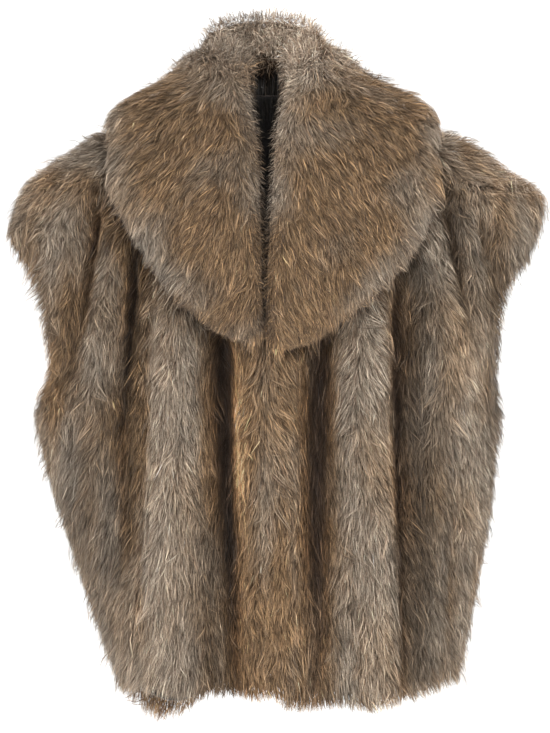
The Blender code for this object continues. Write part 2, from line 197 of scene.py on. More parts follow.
# A cross section of half the collar. The roll is the axis of its thick inner edge, which stands round the
# neck, and the edge is the tip of the fall that lies on the body. The halves are half thicknesses.
CollarSection = namedtuple(
    "CollarSection", "roll_x roll_y roll_z edge_x edge_y edge_z roll_half fall_half"
)
COLLARS = tables(CollarSection, {
    "collar_right": (
        (-0, 62, 62, -0, 100, -66, 21, 13),
        (-30, 60, 61, -84, 94, -68, 21, 13),
        (-62, 38, 50, -136, 62, -62, 20, 12),
        (-56, 10, 39, -153, 10, -36, 20, 12),
        (-42, -18, 28, -164, -66, -80, 22, 12),
        (-30, -44, 8, -171, -88, -112, 23, 15),
        (-17, -68, -28, -158, -99, -142, 24, 16),
        (-12, -92, -74, -138, -109, -176, 24, 16),
        (-11, -112, -124, -112, -117, -212, 23, 15),
        (-11, -124, -174, -78, -124, -246, 21, 14),
        (-8, -132, -220, -46, -128, -268, 18, 12),
        (-4, -134, -248, -20, -132, -277, 12, 9),
        (-2, -134, -262, -8, -133, -276, 6, 5),
    ),
    "collar_left": (
        (0, 62, 62, 0, 100, -66, 21, 13),
        (32, 60, 61, 92, 94, -68, 21, 13),
        (62, 38, 49, 150, 66, -60, 20, 14),
        (61, 10, 43, 168, 10, -40, 22, 15),
        (48, -18, 30, 183, -70, -84, 23, 13),
        (34, -44, 8, 192, -88, -114, 23, 15),
        (19, -68, -28, 181, -98, -146, 24, 16),
        (12, -92, -74, 160, -108, -184, 24, 16),
        (11, -112, -124, 130, -115, -218, 23, 15),
        (11, -124, -174, 90, -122, -250, 21, 14),
        (8, -132, -220, 52, -128, -276, 18, 12),
        (4, -134, -248, 22, -132, -284, 12, 9),
        (2, -134, -264, 9, -133, -282, 6, 5),
    ),
})
COLLAR_FULLNESS = 0.3
CROWN_LIFT = 2.0
ROLL_SPREAD = 0.24
REST_FROM = 0.3
REST_GAP = 1.1
RIDGE_GAP = 2.8
ROLL_LIFT = 0.5
LIFT_LOOK_AT = 0.55
DOME_Z = 26.0
LEAST_DOME = 0.001
MOST_PUSH = 60.0
MOST_SINK = 9.0
PUSH_HALVINGS = 20

# The grids that the furs and cloths are read from.
PANEL_ROWS = 170
FRONT_COLUMNS = 110
BACK_COLUMNS = 190
COLLAR_STATIONS = 110
COLLAR_COLUMNS = 84
COLLAR_WRAP = 0.95
ROW_SPREAD = 1.15

# The backing cloth under the pile.
CLOTH = 2.4
CLOTH_ROWS = 64
CLOTH_COLUMNS = 38
CLOTH_HEM = 13.0
COLLAR_PILE = 9.5
COLLAR_CORE = (0.14, 0.88)
CORE_LEAST = 0.25

# Colours as they look on screen, 0 to 255.
TAUPE = (136, 124, 110)
PALE = (186, 173, 154)
GOLD = (130, 102, 71)
STRAW = (166, 137, 103)
UMBER = (70, 50, 36)
SOOT = (31, 22, 16)
# What the colour is multiplied by on a fold's flanks: painted shade, darker and warmer.
FLANK_PAINTED_SHADE = (0.80, 0.70, 0.60)

# A band of fur in another tone, along a line through three points, with how strongly it is golden and shaded.
# Its shade is mostly painted shade of folds, hollows and the collar's edge, partly the fur's own darker rust;
# a negative shade lightens it.
Band = namedtuple("Band", "x_top z_top x_mid z_mid x_low z_low width gold shade")
BANDS = tables(Band, {
    "front_right": (
        (-130, -120, -136, -300, -146, -500, 9, 0.90, 0.52),
        (-140, -130, -146, -270, -160, -370, 9, 0.30, 0.78),
        (-163, -340, -165, -440, -160, -540, 17, 0.25, 0.34),
        (-190, -300, -190, -420, -175, -560, 34, 0.15, 0.20),
        (-166, -140, -168, -220, -170, -300, 14, 0.25, 0.22),
        (-215, -160, -222, -230, -232, -330, 12, 0.25, 0.10),
        # Painted shadow that the collar's edge casts on the front below.
        (-178, -115, -142, -190, -62, -272, 11, 0.30, 0.25),
        (-32, -270, -30, -350, -27, -430, 8, 0.30, -2.2),
        (-62, -240, -60, -340, -58, -450, 9, 0.0, -0.5),
        (-232, -290, -236, -350, -238, -420, 10, 0.20, -0.25),
        (-210, -370, -210, -420, -205, -470, 14, 0.10, 0.25),
        (-40, -450, -39, -560, -37, -690, 9, 0.30, 0.45),
        (-186, -90, -204, -200, -222, -310, 15, 0.35, 0.30),
        (-182, -96, -196, -210, -216, -310, 6, 0.30, 0.55),
        (-26, -290, -25, -480, -24, -640, 6, 0.45, -0.35),
        (-16, -280, -16, -480, -14, -690, 13, 0.45, 0.0),
        (-58, -480, -60, -580, -58, -690, 15, 0.45, 0.50),
        (-116, -500, -122, -600, -122, -690, 28, 0.0, -0.26),
    ),
    "front_left": (
        (20, -280, 20, -480, 18, -690, 15, 0.35, 0.0),
        (43, -300, 44, -500, 36, -690, 7, 0.70, 0.15),
        (166, -160, 169, -400, 170, -640, 27, 0.15, 0.78),
        (198, -200, 202, -400, 196, -560, 20, 0.10, 0.15),
        (191, -106, 207, -180, 226, -260, 6, 0.30, 0.55),
        (200, -80, 210, -150, 222, -225, 20, 0.10, 0.45),
        (235, -120, 245, -170, 258, -240, 6, 0.30, 0.50),
        (207, -85, 205, -130, 212, -180, 14, 0.10, 0.45),
        (262, -120, 262, -240, 250, -390, 14, 0.20, 0.35),
        (149, -150, 151, -400, 152, -640, 9, 0.0, 0.18),
        (100, -200, 104, -400, 104, -640, 34, 0.0, 0.13),
        (188, -200, 192, -400, 192, -600, 26, 0.10, 0.12),
        (77, -255, 74, -450, 72, -670, 13, 0.45, 0.28),
        (240, -280, 248, -350, 244, -440, 12, 0.10, -0.20),
        (217, -230, 225, -330, 232, -480, 14, 0.0, -0.25),
        (176, -590, 176, -640, 176, -690, 40, 0.0, -0.45),
        (130, -610, 130, -650, 130, -690, 60, 0.0, -0.30),
    ),
    "back": ((-110, -655, -110, -680, -110, -700, 60, 1.0, -0.35),),
})


def clip01(value):
    return np.clip(value, 0.0, 1.0)


def smooth_step(value):
    """0 below 0, 1 above 1, with a smooth rise between."""
    share = clip01(value)
    return share * share * (3.0 - 2.0 * share)


def rise(value, start, end):
    """0 at start, 1 at end, held beyond them, with a smooth rise between."""
    return smooth_step((value - start) / (end - start))


def linear(colour):
    """A colour from the screen's 0 to 255 as light."""
    value = np.asarray(colour, float) / 255.0
    return np.where(value <= 0.04045, value / 12.92, ((value + 0.055) / 1.055) ** 2.4)


def unit(vectors):
    return vectors / np.maximum(np.linalg.norm(vectors, axis=-1, keepdims=True), 1e-9)


# How much longer or shorter than the mean a wave of a pattern can be, and how high they add up.
WAVE_SIZES = (0.7, 1.5)
WAVES_HEIGHT = 0.6


def ripple(points, wavelength, seed, waves):
    """Smooth noise from about -1 to 1: a few plane waves in random directions."""
    rng = np.random.default_rng(seed)
    total = 0.0
    for _ in range(waves):
        way = unit(rng.normal(size=3)) * 2 * math.pi / (wavelength * rng.uniform(*WAVE_SIZES))
        total = total + np.sin(points @ way + rng.uniform(0, 2 * math.pi))
    return total / math.sqrt(waves / 2) * WAVES_HEIGHT


def slopes(keys, values):
    """Slopes at a table's rows that never let the curve between two rows overshoot them."""
    steps = np.diff(values) / np.diff(keys)
    middle = np.zeros(len(keys))
    for i in range(1, len(keys) - 1):
        before, after = steps[i - 1], steps[i]
        if before * after > 0:
            middle[i] = 2 * before * after / (before + after)
    middle[0], middle[-1] = steps[0], steps[-1]
    return middle


def along(table, key, column, at):
    """A smooth curve through one column of a table, read at many places and held at its ends."""
    rows = sorted(table, key=lambda row: getattr(row, key))
    keys = np.array([getattr(row, key) for row in rows], float)
    values = np.array([getattr(row, column) for row in rows], float)
    slope = slopes(keys, values)
    at = np.clip(np.asarray(at, float), keys[0], keys[-1])
    i = np.clip(np.searchsorted(keys, at) - 1, 0, len(keys) - 2)
    span = keys[i + 1] - keys[i]
    t = (at - keys[i]) / span
    return (
        values[i] * (1 + 2 * t) * (1 - t) ** 2
        + values[i + 1] * (3 - 2 * t) * t**2
        + slope[i] * span * t * (1 - t) ** 2
        - slope[i + 1] * span * t**2 * (1 - t)
    )


def armhole_share(z):
    """0 at the armhole's low end and below it, 1 at its top and above it."""
    return clip01((z - ARMHOLE_LOW_Z) / (ARMHOLE_TOP_Z - ARMHOLE_LOW_Z))


def in_armhole(z):
    """1 at heights where the side of a panel is an armhole edge."""
    return ((z < ARMHOLE_TOP_Z) & (z > ARMHOLE_LOW_Z)).astype(float)


def armhole_cut(z, part, side):
    """How many degrees the armhole takes from a panel at each height."""
    return ARMHOLE_TURN[part, side] * np.sin(math.pi * armhole_share(z)) ** ARMHOLE_ROUNDNESS


def across(turn):
    """How far out a point lies at a turn from the front or back, as a share of the half width."""
    return np.sin(np.radians(turn)) ** (2 / SQUARENESS)


def reach(z, side):
    """Half width of the full section. Beside the armhole the panel's edge has the table's reach."""
    width = along(SECTIONS, "height", "right" if side < 0 else "left", z)
    widest = min(ARMHOLE_TURN["front", side], ARMHOLE_TURN["back", side])
    return width / across(90.0 - widest * np.sin(math.pi * armhole_share(z)))


def depth(z, part):
    """How far the section reaches forward or back."""
    return along(SECTIONS, "height", part, z)


def base_point(turn, z):
    """The surface over the folds. turn runs from 0 at the front over 90 at the wearer's left."""
    angle = np.radians(turn)
    sine, cosine = np.sin(angle), np.cos(angle)
    width = np.where(sine < 0, reach(z, -1), reach(z, 1))
    deep = np.where(cosine > 0, depth(z, "front"), depth(z, "back"))
    power = 2 / SQUARENESS
    x = width * np.sign(sine) * np.abs(sine) ** power
    y = -deep * np.sign(cosine) * np.abs(cosine) ** power
    lean = along(CENTRE_LINE, "height", "x", z)
    return np.stack([x + lean * np.clip(cosine, 0, 1), y, np.broadcast_to(z, x.shape)], -1)


def base_normal(turn, z):
    """The outward direction of that surface."""
    round_body = base_point(turn + SLOPE_STEP_TURN, z) - base_point(turn - SLOPE_STEP_TURN, z)
    high = np.minimum(z + SLOPE_STEP_Z, NECK_Z)
    up = base_point(turn, high) - base_point(turn, high - 2 * SLOPE_STEP_Z)
    return unit(np.cross(round_body, up))


def turn_at(x, z, part):
    """The turn at which the surface lies at this x, on the front or the back."""
    side = np.sign(x)
    share = clip01(np.abs(x) / np.where(side < 0, reach(z, -1), reach(z, 1)))
    turn = np.degrees(np.arcsin(share ** (SQUARENESS / 2)))
    return side * turn if part == "front" else 180.0 - side * turn


def fold_line(fold, z):
    """The x of a fold's valley at a height, on a parabola through its three points."""
    z = np.clip(z, fold.z_low, fold.z_top)
    points = ((fold.x_top, fold.z_top), (fold.x_mid, fold.z_mid), (fold.x_low, fold.z_low))
    total = 0.0
    for i, (x, height) in enumerate(points):
        share = 1.0
        for j, (_, other) in enumerate(points):
            if j != i:
                share = share * (z - other) / (height - other)
        total = total + x * share
    return total


def fold_sink(name, part, turn, z, wider):
    """How far the folds sink the surface at each point."""
    total = np.zeros(np.broadcast(turn, z).shape)
    for fold in FOLDS[name] + CREASES[name]:
        line = turn_at(fold_line(fold, z), z, part)
        angle = np.radians(turn)
        scale = np.hypot(
            np.where(np.sin(angle) < 0, reach(z, -1), reach(z, 1)) * np.cos(angle),
            depth(z, part) * np.sin(angle),
        )
        away = np.radians(turn - line) * scale / (fold.width * wider)
        down = clip01((fold.z_top - z) / (fold.z_top - fold.z_low))
        deep = fold.depth + (fold.low_depth - fold.depth) * down**2
        length = min(LONG_FADE, FADE_SHARE * (fold.z_top - fold.z_low))
        fade = rise(z, fold.z_top, fold.z_top - length)
        if fold.z_low > SECTIONS[-1].height:
            fade = fade * rise(z, fold.z_low, fold.z_low + length)
        total += deep * fade / (1 + away**2) ** FOLD_STEEPNESS
    from_seam = np.abs(np.abs((turn + 180.0) % 360.0 - 180.0) - 90.0)
    return total * rise(from_seam, 0.0, SEAM_FLAT_TURN)


def fullness(points):
    """Below 1 inside the body's surface and above 1 outside. The neck hole counts as a low dome."""
    x, y, z = points[..., 0], points[..., 1], points[..., 2]
    above = clip01((z - NECK_Z) / (DOME_Z - NECK_Z))
    shrink = np.sqrt(np.maximum(1.0 - above**2, LEAST_DOME**2))
    width = np.where(x < 0, reach(z, -1), reach(z, 1)) * shrink
    deep = np.where(y < 0, depth(z, "front"), depth(z, "back")) * shrink
    return (np.abs(x) / width) ** SQUARENESS + (np.abs(y) / deep) ** SQUARENESS


def outward(points):
    """The directions in which fullness grows fastest."""
    gradient = [fullness(points + axis) - fullness(points - axis) for axis in np.eye(3)]
    return unit(np.stack(gradient, -1))


def push_to_rest(points, directions, clearance):
    """How far to move each point so that it lies this clear of the body's surface."""
    low = np.full(points.shape[:-1], -MOST_PUSH)
    high = -low
    foot = points - clearance[..., None] * directions
    for _ in range(PUSH_HALVINGS):
        middle = (low + high) / 2
        inside = fullness(foot + middle[..., None] * directions) < 1.0
        low, high = np.where(inside, middle, low), np.where(inside, high, middle)
    return high


# A skin is the room that a fur fills: the points of its outer face and of its roots on one grid, with the
# outward normals, the way the hairs lie, how deep each point lies in a fold (on a collar, how much painted
# shade the inside of the neck gets, as a depth), its share of the way from a collar's roll to its edge, and
# the length that hairs have before they reach too far over an edge.
Skin = namedtuple("Skin", "name outer root normal flow sunk share room")


def grid_normal(points, toward):
    """Normals of a grid of points, turned to the side that toward points to."""
    normal = unit(np.cross(np.gradient(points, axis=0), np.gradient(points, axis=1)))
    return normal * np.sign((normal * toward).sum(-1, keepdims=True))


# The powers by which the shift of columns at the armhole grows over a front and over the back.
FRONT_SHIFT = 2.2
BACK_SHIFT = 4
# How the hairs of the panels lie. A pair holds where a change starts and where it is complete.
LEAN_FOLD_WIDTH = 2.4
LEAST_STEP = 0.05
LEAN_PER_SLOPE = 1.2
MOST_LEAN = 0.6
LEAN_SINKS = (12.0, 3.0)
LEAN_AT_HEM = 0.35
LEAN_HEIGHTS = (-520.0, -320.0)
SHOULDER_LEAN = 0.32
SHOULDER_LEAN_X = 250.0
SHOULDER_LEAN_HEIGHTS = (-260.0, -60.0)
OPENING_LEAN = 0.30
OPENING_LEAN_X = (12.0, 4.0)
HEM_REACH = 7.0
# The back's hairs hang lower under the fronts at one place of its hem.
STRIP_X = -136.0
STRIP_WIDTH = 20.0
STRIP_HEIGHTS = (-640.0, -665.0)
STRIP_LONGER = 0.5
STRIP_REACH = 7.0


def panel_skin(name):
    """The skin of a front or of the back."""
    part = "back" if name == "back" else "front"
    if part == "back":
        column = np.linspace(0.0, 1.0, BACK_COLUMNS)
        hem = along(HEMS["back"], "turn", "height", 90 + 180 * column)
    else:
        side = -1 if name == "front_right" else 1
        column = np.linspace(0.0, 1.0, FRONT_COLUMNS)
        hem = along(HEMS[name], "turn", "height", side * 90 * column)
    share = np.linspace(0.0, 1.0, PANEL_ROWS) ** ROW_SPREAD
    z = NECK_Z + share[:, None] * (hem[None, :] - NECK_Z)
    # The armhole's cut shifts mainly the columns near it.
    if part == "back":
        turn = 90.0 + 180.0 * column[None, :]
        turn = turn + armhole_cut(z, "back", 1) * (1 - column[None, :]) ** BACK_SHIFT
        turn = turn - armhole_cut(z, "back", -1) * column[None, :] ** BACK_SHIFT
    else:
        above_break = clip01((z - BREAK_Z) / (NECK_Z - BREAK_Z))
        neckline = SEAM_GAP / 2 + NECKLINE_X * above_break**NECKLINE_CURVE
        start = np.abs(turn_at(side * neckline, z, "front"))
        turn = start + column[None, :] * (90.0 - start)
        turn = side * (turn - armhole_cut(z, "front", side) * column[None, :] ** FRONT_SHIFT)
    base, normal = base_point(turn, z), base_normal(turn, z)
    outer_in = fold_sink(name, part, turn, z, 1.0)
    inner_in = INNER_FOLD_DEPTH * fold_sink(name, part, turn, z, INNER_FOLD_WIDTH) + PILE_WALL
    inner_in = np.maximum(inner_in, outer_in + LEAST_WALL)
    outer = base - normal * outer_in[..., None]
    root = base - normal * (inner_in - CLOTH)[..., None]
    # Hairs hang down, and lie out from each ridge towards its valleys.
    wide = fold_sink(name, part, turn, z, LEAN_FOLD_WIDTH)
    step = np.linalg.norm(np.gradient(outer, axis=1), axis=-1)
    slope = np.gradient(wide, axis=1) / np.maximum(step, LEAST_STEP)
    lean_out = np.clip(LEAN_PER_SLOPE * slope, -MOST_LEAN, MOST_LEAN) * rise(outer_in, *LEAN_SINKS)
    lean_out = lean_out * (LEAN_AT_HEM + (1 - LEAN_AT_HEM) * rise(z, *LEAN_HEIGHTS))
    aside = unit(np.gradient(base, axis=1)) * lean_out[..., None]
    flow = aside + np.array([0.0, 0.0, -1.0])
    outer_side = np.clip(base[..., 0] / SHOULDER_LEAN_X, -1, 1)
    flow[..., 0] += SHOULDER_LEAN * outer_side * rise(z, *SHOULDER_LEAN_HEIGHTS)
    if part == "front":
        # Beside the opening the hairs lean over it.
        beside = rise(np.abs(outer[..., 0]), *OPENING_LEAN_X) * (z < BREAK_Z)
        flow[..., 0] -= OPENING_LEAN * side * beside
    room = (z - hem[None, :]) + HEM_REACH
    if part == "back":
        room = room + STRIP_REACH * np.exp(-(((outer[..., 0] - STRIP_X) / STRIP_WIDTH) ** 2))
    return Skin(name, outer, root, grid_normal(outer, normal), flow, outer_in, None, room)


def collar_rows(name, stations):
    table = COLLARS[name]
    Row = namedtuple("Row", ("place",) + CollarSection._fields)
    rows = [Row(i, *section) for i, section in enumerate(table)]
    place = np.linspace(0, len(table) - 1, stations)
    return CollarSection(*(along(rows, "place", c, place) for c in CollarSection._fields))


# Where the hairs part on the roll and how softly, how far the crown's stand up, and how they lie. A pair
# holds where a change starts and where it is complete.
CREST_ANGLE = 0.30 * math.pi
CREST_SOFT = 0.14 * math.pi
CROWN_LIFT_HEIGHTS = (22.0, 56.0)
SLIT_BACK_Y = 20.0
FLOW_TO_EDGE = 0.75
FLOW_DOWN = 0.85
# Painted shade darkens the inside of the neck, as dark as a deep fold.
MOST_NECK_SHADE = 30.0
NECK_SHADE_ANGLES = (0.16 * math.pi, -0.04 * math.pi)
NECK_SHADE_HEIGHTS = (52.0, 32.0)
# How far hairs reach over the rim of the wearer's right and left half.
RIM_REACH = {-1: 1.5, 1: 6.0}
# How far each side of the neck slit stays open, by height.
Slit = namedtuple("Slit", "height right left")
SLIT = (
    Slit(60, 14, 21),
    Slit(20, 14, 22),
    Slit(-10, 14, 21),
    Slit(-30, 12, 17),
    Slit(-50, 8, 13),
    Slit(-80, 6, 11.5),
    Slit(-110, 4.5, 9.5),
    Slit(-150, 3, 6.5),
    Slit(-230, 1.6, 3.6),
    Slit(-255, 0.8, 2),
    Slit(-270, 0.15, 0.15),
)


def collar_skin(name):
    """The skin of a collar half. Its columns run from the edge under the roll and over it to the edge."""
    row = collar_rows(name, COLLAR_STATIONS)
    side = -1 if name == "collar_right" else 1
    roll = np.stack([row.roll_x, row.roll_y, row.roll_z], -1)
    edge = np.stack([row.edge_x, row.edge_y, row.edge_z], -1)
    length = np.linalg.norm(edge - roll, axis=-1, keepdims=True)
    ahead = (edge - roll) / length
    out = outward(roll + LIFT_LOOK_AT * (edge - roll))
    out = unit(out - ahead * (out * ahead).sum(-1, keepdims=True))
    clearance = (REST_GAP + RIDGE_GAP * out[:, 2] ** 2)[:, None]
    angle = np.linspace(-COLLAR_WRAP, COLLAR_WRAP, COLLAR_COLUMNS)[None, :] * math.pi
    share = 0.5 - 0.5 * np.cos(angle)

    def spine_at(share, half_now):
        spine = (roll - row.roll_half[:, None] * ahead)[:, None, :]
        spine = spine + ((length + row.roll_half[:, None]) * share)[..., None] * ahead[:, None, :]
        rest = push_to_rest(spine, ways(share), half_now + clearance)
        rest = np.maximum(rest, -MOST_SINK)
        resting = rise(share, 0.0, REST_FROM)
        moved = resting * rest + (1 - resting) * ROLL_LIFT * np.maximum(rest, 0.0)
        return spine + moved[..., None] * out[:, None, :]

    def ways(share):
        return np.broadcast_to(out[:, None, :], (len(out), share.shape[-1], 3))

    def half_at(share):
        swell = np.exp(-((share / ROLL_SPREAD) ** 2))
        half = row.fall_half[:, None] + (row.roll_half - row.fall_half)[:, None] * swell
        return half * (4 * share * (1 - share)) ** COLLAR_FULLNESS

    half = half_at(share)
    spine = spine_at(share, half)
    above = np.sign(np.sin(angle) + 1e-9)
    outer = spine + (half * above)[..., None] * out[:, None, :]
    sunk = np.maximum(push_to_rest(outer, ways(share), clearance + 0 * half), 0.0)
    outer = outer + (sunk * (above < 0))[..., None] * out[:, None, :]
    # The hairs on the crown stand up a little over the solid.
    outer[..., 2] += CROWN_LIFT * rise(outer[..., 2], *CROWN_LIFT_HEIGHTS) * (above > 0)
    slit = along(SLIT, "height", "right" if side < 0 else "left", outer[..., 2])
    slit = np.maximum(slit * (outer[..., 1] < SLIT_BACK_Y), SEAM_GAP / 2)
    outer[..., 0] += side * np.maximum(slit - side * outer[..., 0], 0.0)
    core_share = np.clip(share, *COLLAR_CORE)
    core = spine_at(core_share, half_at(core_share))
    from_core = outer - core
    far = np.linalg.norm(from_core, axis=-1, keepdims=True)
    root = core + from_core * np.maximum(1 - COLLAR_PILE / np.maximum(far, LEAST_FAR), CORE_LEAST)
    normal = grid_normal(outer, from_core)
    toward_edge = unit(np.gradient(outer, axis=1)) * np.tanh((angle - CREST_ANGLE) / CREST_SOFT)[..., None]
    flow = FLOW_TO_EDGE * toward_edge + np.array([0.0, 0.0, -FLOW_DOWN])
    arc = np.cumsum(np.linalg.norm(np.diff(outer, axis=1, prepend=outer[:, :1]), axis=-1), axis=1)
    room = np.where(angle > CREST_ANGLE, arc[:, -1:] - arc, arc) + RIM_REACH[side]
    # Painted shade inside the neck, carried where a panel carries its fold depth.
    painted_neck_shade = MOST_NECK_SHADE * rise(angle, *NECK_SHADE_ANGLES) * rise(outer[..., 2], *NECK_SHADE_HEIGHTS)
    return Skin(name, outer, root, normal, flow, painted_neck_shade, share + 0 * half, room)


def read(grid, rows, columns):
    """Values of a grid at places between its points. Beyond its rim it goes on straight."""
    high, wide = grid.shape[:2]
    r = np.clip(np.floor(rows).astype(int), 0, high - 2)
    c = np.clip(np.floor(columns).astype(int), 0, wide - 2)
    a, b = rows - r, columns - c
    if grid.ndim == 3:
        a, b = a[..., None], b[..., None]
    top = grid[r, c] * (1 - b) + grid[r, c + 1] * b
    low = grid[r + 1, c] * (1 - b) + grid[r + 1, c + 1] * b
    return top * (1 - a) + low * a


def read_inside(grid, rows, columns):
    """The same, but held at the rim."""
    high, wide = grid.shape[:2]
    return read(grid, np.clip(rows, 0, high - 1), np.clip(columns, 0, wide - 1))


# A cell whose sides lie closer to one line than this counts as wider than it is.
LEAST_SINE_SQUARED = 0.05


def grid_steps(skin, way, rows, columns):
    """Grid steps to the millimetre that lead along a direction from these places."""
    high, wide = skin.outer.shape[:2]
    r = np.clip(np.floor(rows).astype(int), 0, high - 2)
    c = np.clip(np.floor(columns).astype(int), 0, wide - 2)
    a, b = clip01(rows - r)[:, None], clip01(columns - c)[:, None]
    grid = skin.outer
    by_row = (grid[r + 1, c] - grid[r, c]) * (1 - b) + (grid[r + 1, c + 1] - grid[r, c + 1]) * b
    by_column = (grid[r, c + 1] - grid[r, c]) * (1 - a) + (grid[r + 1, c + 1] - grid[r + 1, c]) * a
    rr, cc = (by_row**2).sum(-1), (by_column**2).sum(-1)
    rc = (by_row * by_column).sum(-1)
    wr, wc = (way * by_row).sum(-1), (way * by_column).sum(-1)
    det = np.maximum(rr * cc - rc * rc, LEAST_SINE_SQUARED * rr * cc + 1e-6)
    return (wr * cc - wc * rc) / det, (wc * rr - wr * rc) / det


def scatter(skin, count, weight, rng):
    """Places spread evenly by area over a skin's grid, denser where weight is higher."""
    by_row, by_column = np.diff(skin.outer, axis=0)[:, :-1], np.diff(skin.outer, axis=1)[:-1]
    area = np.linalg.norm(np.cross(by_row, by_column), axis=-1) * weight[:-1, :-1]
    total = np.cumsum(area.ravel())
    at = (np.arange(count) + rng.uniform(0, 1, count)) / count * total[-1]
    cell = np.searchsorted(total, at)
    wide = area.shape[1]
    return cell // wide + rng.uniform(0, 1, count), cell % wide + rng.uniform(0, 1, count)


# How fast a hair rises from its root, and how much farther than its length its tip can lie.
HAIR_RISE = 1.7
FARTHEST = 18.0
LEAST_FAR = 0.1


def paths(skin, rows, columns, length, nodes, turned, tip_height):
    """The points of hairs that start at these places, as hairs x nodes x 3, and how far each is sunk."""
    tangent = unit(skin.flow - skin.normal * (skin.flow * skin.normal).sum(-1, keepdims=True))
    length = np.minimum(length, read_inside(skin.room, rows, columns))
    step = length / (nodes - 1)
    cosine, sine = np.cos(turned)[:, None], np.sin(turned)[:, None]
    sunk, result = [], []
    for k in range(nodes):
        height = tip_height * (1 - (1 - k / (nodes - 1)) ** HAIR_RISE)
        root = read(skin.root, rows, columns)
        outer = read(skin.outer, rows, columns)
        result.append(root + (outer - root) * height[:, None])
        sunk.append(read_inside(skin.sunk, rows, columns))
        way, normal = read_inside(tangent, rows, columns), read_inside(skin.normal, rows, columns)
        way = unit(way * cosine + np.cross(normal, way) * sine)
        down, sideways = grid_steps(skin, way, rows, columns)
        rows, columns = rows + step * down, columns + step * sideways
    # Where the grid is pinched at a corner, a hair would shoot far beyond it.
    result = np.stack(result, 1)
    reached = result - result[:, :1]
    far = np.maximum(np.linalg.norm(reached, axis=-1, keepdims=True), LEAST_FAR)
    result = result[:, :1] + reached * np.minimum(1.0, (length + FARTHEST)[:, None, None] / far)
    return result, np.stack(sunk, 1)


# Soft underfur, long bent hairs, many fine straight ones, and a few that stand out in tufts.
Coat = namedtuple("Coat", "nodes length width clumping clump low_tip high_tip shade")
UNDERFUR = Coat(2, 16.0, 2.4, 0.3, 7, 0.40, 0.75, 0.75)
LONG_HAIR = Coat(3, 21.0, 0.80, 0.42, 7, 0.76, 1.16, 1.0)
FINE_HAIR = Coat(2, 16.5, 1.30, 0.36, 7, 0.80, 1.16, 1.0)
GUARD_HAIR = Coat(3, 25.0, 0.80, 0.80, 14, 1.05, 1.9, 0.95)


# A hair's width from root to tip, as a parabola, and its least and greatest brightness.
PROFILE = (0.55, 0.9, -1.1)
TONE_LIMITS = (0.001, 0.9)


def hair_mesh(points, normals, widths, colours, twist, across_light):
    """One mesh of tapered ribbons. points is hairs x nodes x 3 and colours hairs x nodes x 3."""
    hairs, nodes = points.shape[:2]
    tangent = unit(np.gradient(points, axis=1))
    flat = unit(np.cross(tangent, normals[:, None, :]))
    lifted = np.cross(tangent, flat)
    side = flat * np.cos(twist)[:, None, None] + lifted * np.sin(twist)[:, None, None]
    t = np.linspace(0, 1, nodes)
    profile = np.polynomial.polynomial.polyval(t, PROFILE)[None, :, None] * widths[:, None, None] / 2
    left = points[:, :-1] - side[:, :-1] * profile[:, :-1]
    right = points[:, :-1] + side[:, :-1] * profile[:, :-1]
    vertices = np.concatenate([np.stack([left, right], 2).reshape(hairs, -1, 3), points[:, -1:]], 1)
    tones = np.concatenate([np.repeat(colours[:, :-1], 2, axis=1), colours[:, -1:]], 1)
    tones[:, :-1:2] *= across_light[:, None, None]
    tones[:, 1:-1:2] /= across_light[:, None, None]
    tones = np.clip(tones, *TONE_LIMITS)
    each = vertices.shape[1]
    quads = [(2 * k, 2 * k + 1, 2 * k + 3, 2 * k + 2) for k in range(nodes - 2)]
    tip = (2 * (nodes - 2), 2 * (nodes - 2) + 1, each - 1)
    start = (np.arange(hairs) * each)[:, None]
    corners = start + np.array([i for quad in quads for i in quad] + list(tip))
    return vertices.reshape(-1, 3), tones.reshape(-1, 3), corners, len(quads)


def placed(name, data):
    """A new object in the scene."""
    thing = bpy.data.objects.new(name, data)
    bpy.context.scene.collection.objects.link(thing)
    return thing


def joined_hair(name, batches, material):
    """One object from several batches of ribbons."""
    vertices = np.concatenate([b[0] for b in batches]) * MM
    tones = np.concatenate([b[1] for b in batches])
    loops, sizes, offset = [], [], 0
    for points, _, corners, quads in batches:
        loops.append((corners + offset).ravel())
        sizes.append(np.tile([4] * quads + [3], len(corners)))
        offset += len(points)
    loops, sizes = np.concatenate(loops), np.concatenate(sizes)
    mesh = bpy.data.meshes.new(name)
    mesh.vertices.add(len(vertices))
    mesh.vertices.foreach_set("co", vertices.astype(np.float32).ravel())
    mesh.loops.add(len(loops))
    mesh.loops.foreach_set("vertex_index", loops.astype(np.int32))
    mesh.polygons.add(len(sizes))
    starts = np.concatenate([[0], np.cumsum(sizes)[:-1]]).astype(np.int32)
    mesh.polygons.foreach_set("loop_start", starts)
    mesh.update(calc_edges=True)
    attribute = mesh.color_attributes.new(name="tone", type="FLOAT_COLOR", domain="POINT")
    rgba = np.concatenate([tones, np.ones((len(tones), 1))], 1)
    attribute.data.foreach_set("color", rgba.astype(np.float32).ravel())
    mesh.shade_smooth()
    mesh.materials.append(material)
    return placed(name, mesh)


# A look for cover starts this far outside the skin and goes this far. The strip along the neck seam is
# all that lies higher than the first value, or closer to the neckline than the second.
COVER_FROM = 2.0
COVER_REACH = 50.0
NECK_STRIP_Z = -26.0
NECK_STRIP = 24.0


def covered(skin, blockers):
    """1 where another piece hides the skin from outside."""
    shade = np.zeros(skin.outer.shape[:2])
    for r in range(shade.shape[0]):
        for c in range(shade.shape[1]):
            normal = Vector(skin.normal[r, c])
            start = Vector(skin.outer[r, c] * MM) + normal * COVER_FROM * MM
            hit = blockers.ray_cast(start, normal, COVER_REACH * MM)
            shade[r, c] = hit[0] is not None
    return shade


def near_neckline(skin):
    """1 in a strip along the seam to the collar."""
    z = skin.outer[..., 2]
    top = z > NECK_STRIP_Z
    if skin.name == "back":
        return top.astype(float)
    across_it = np.linalg.norm(np.diff(skin.outer, axis=1, prepend=skin.outer[:, :1]), axis=-1)
    return (top | ((np.cumsum(across_it, axis=1) < NECK_STRIP) & (z > BREAK_Z))).astype(float)


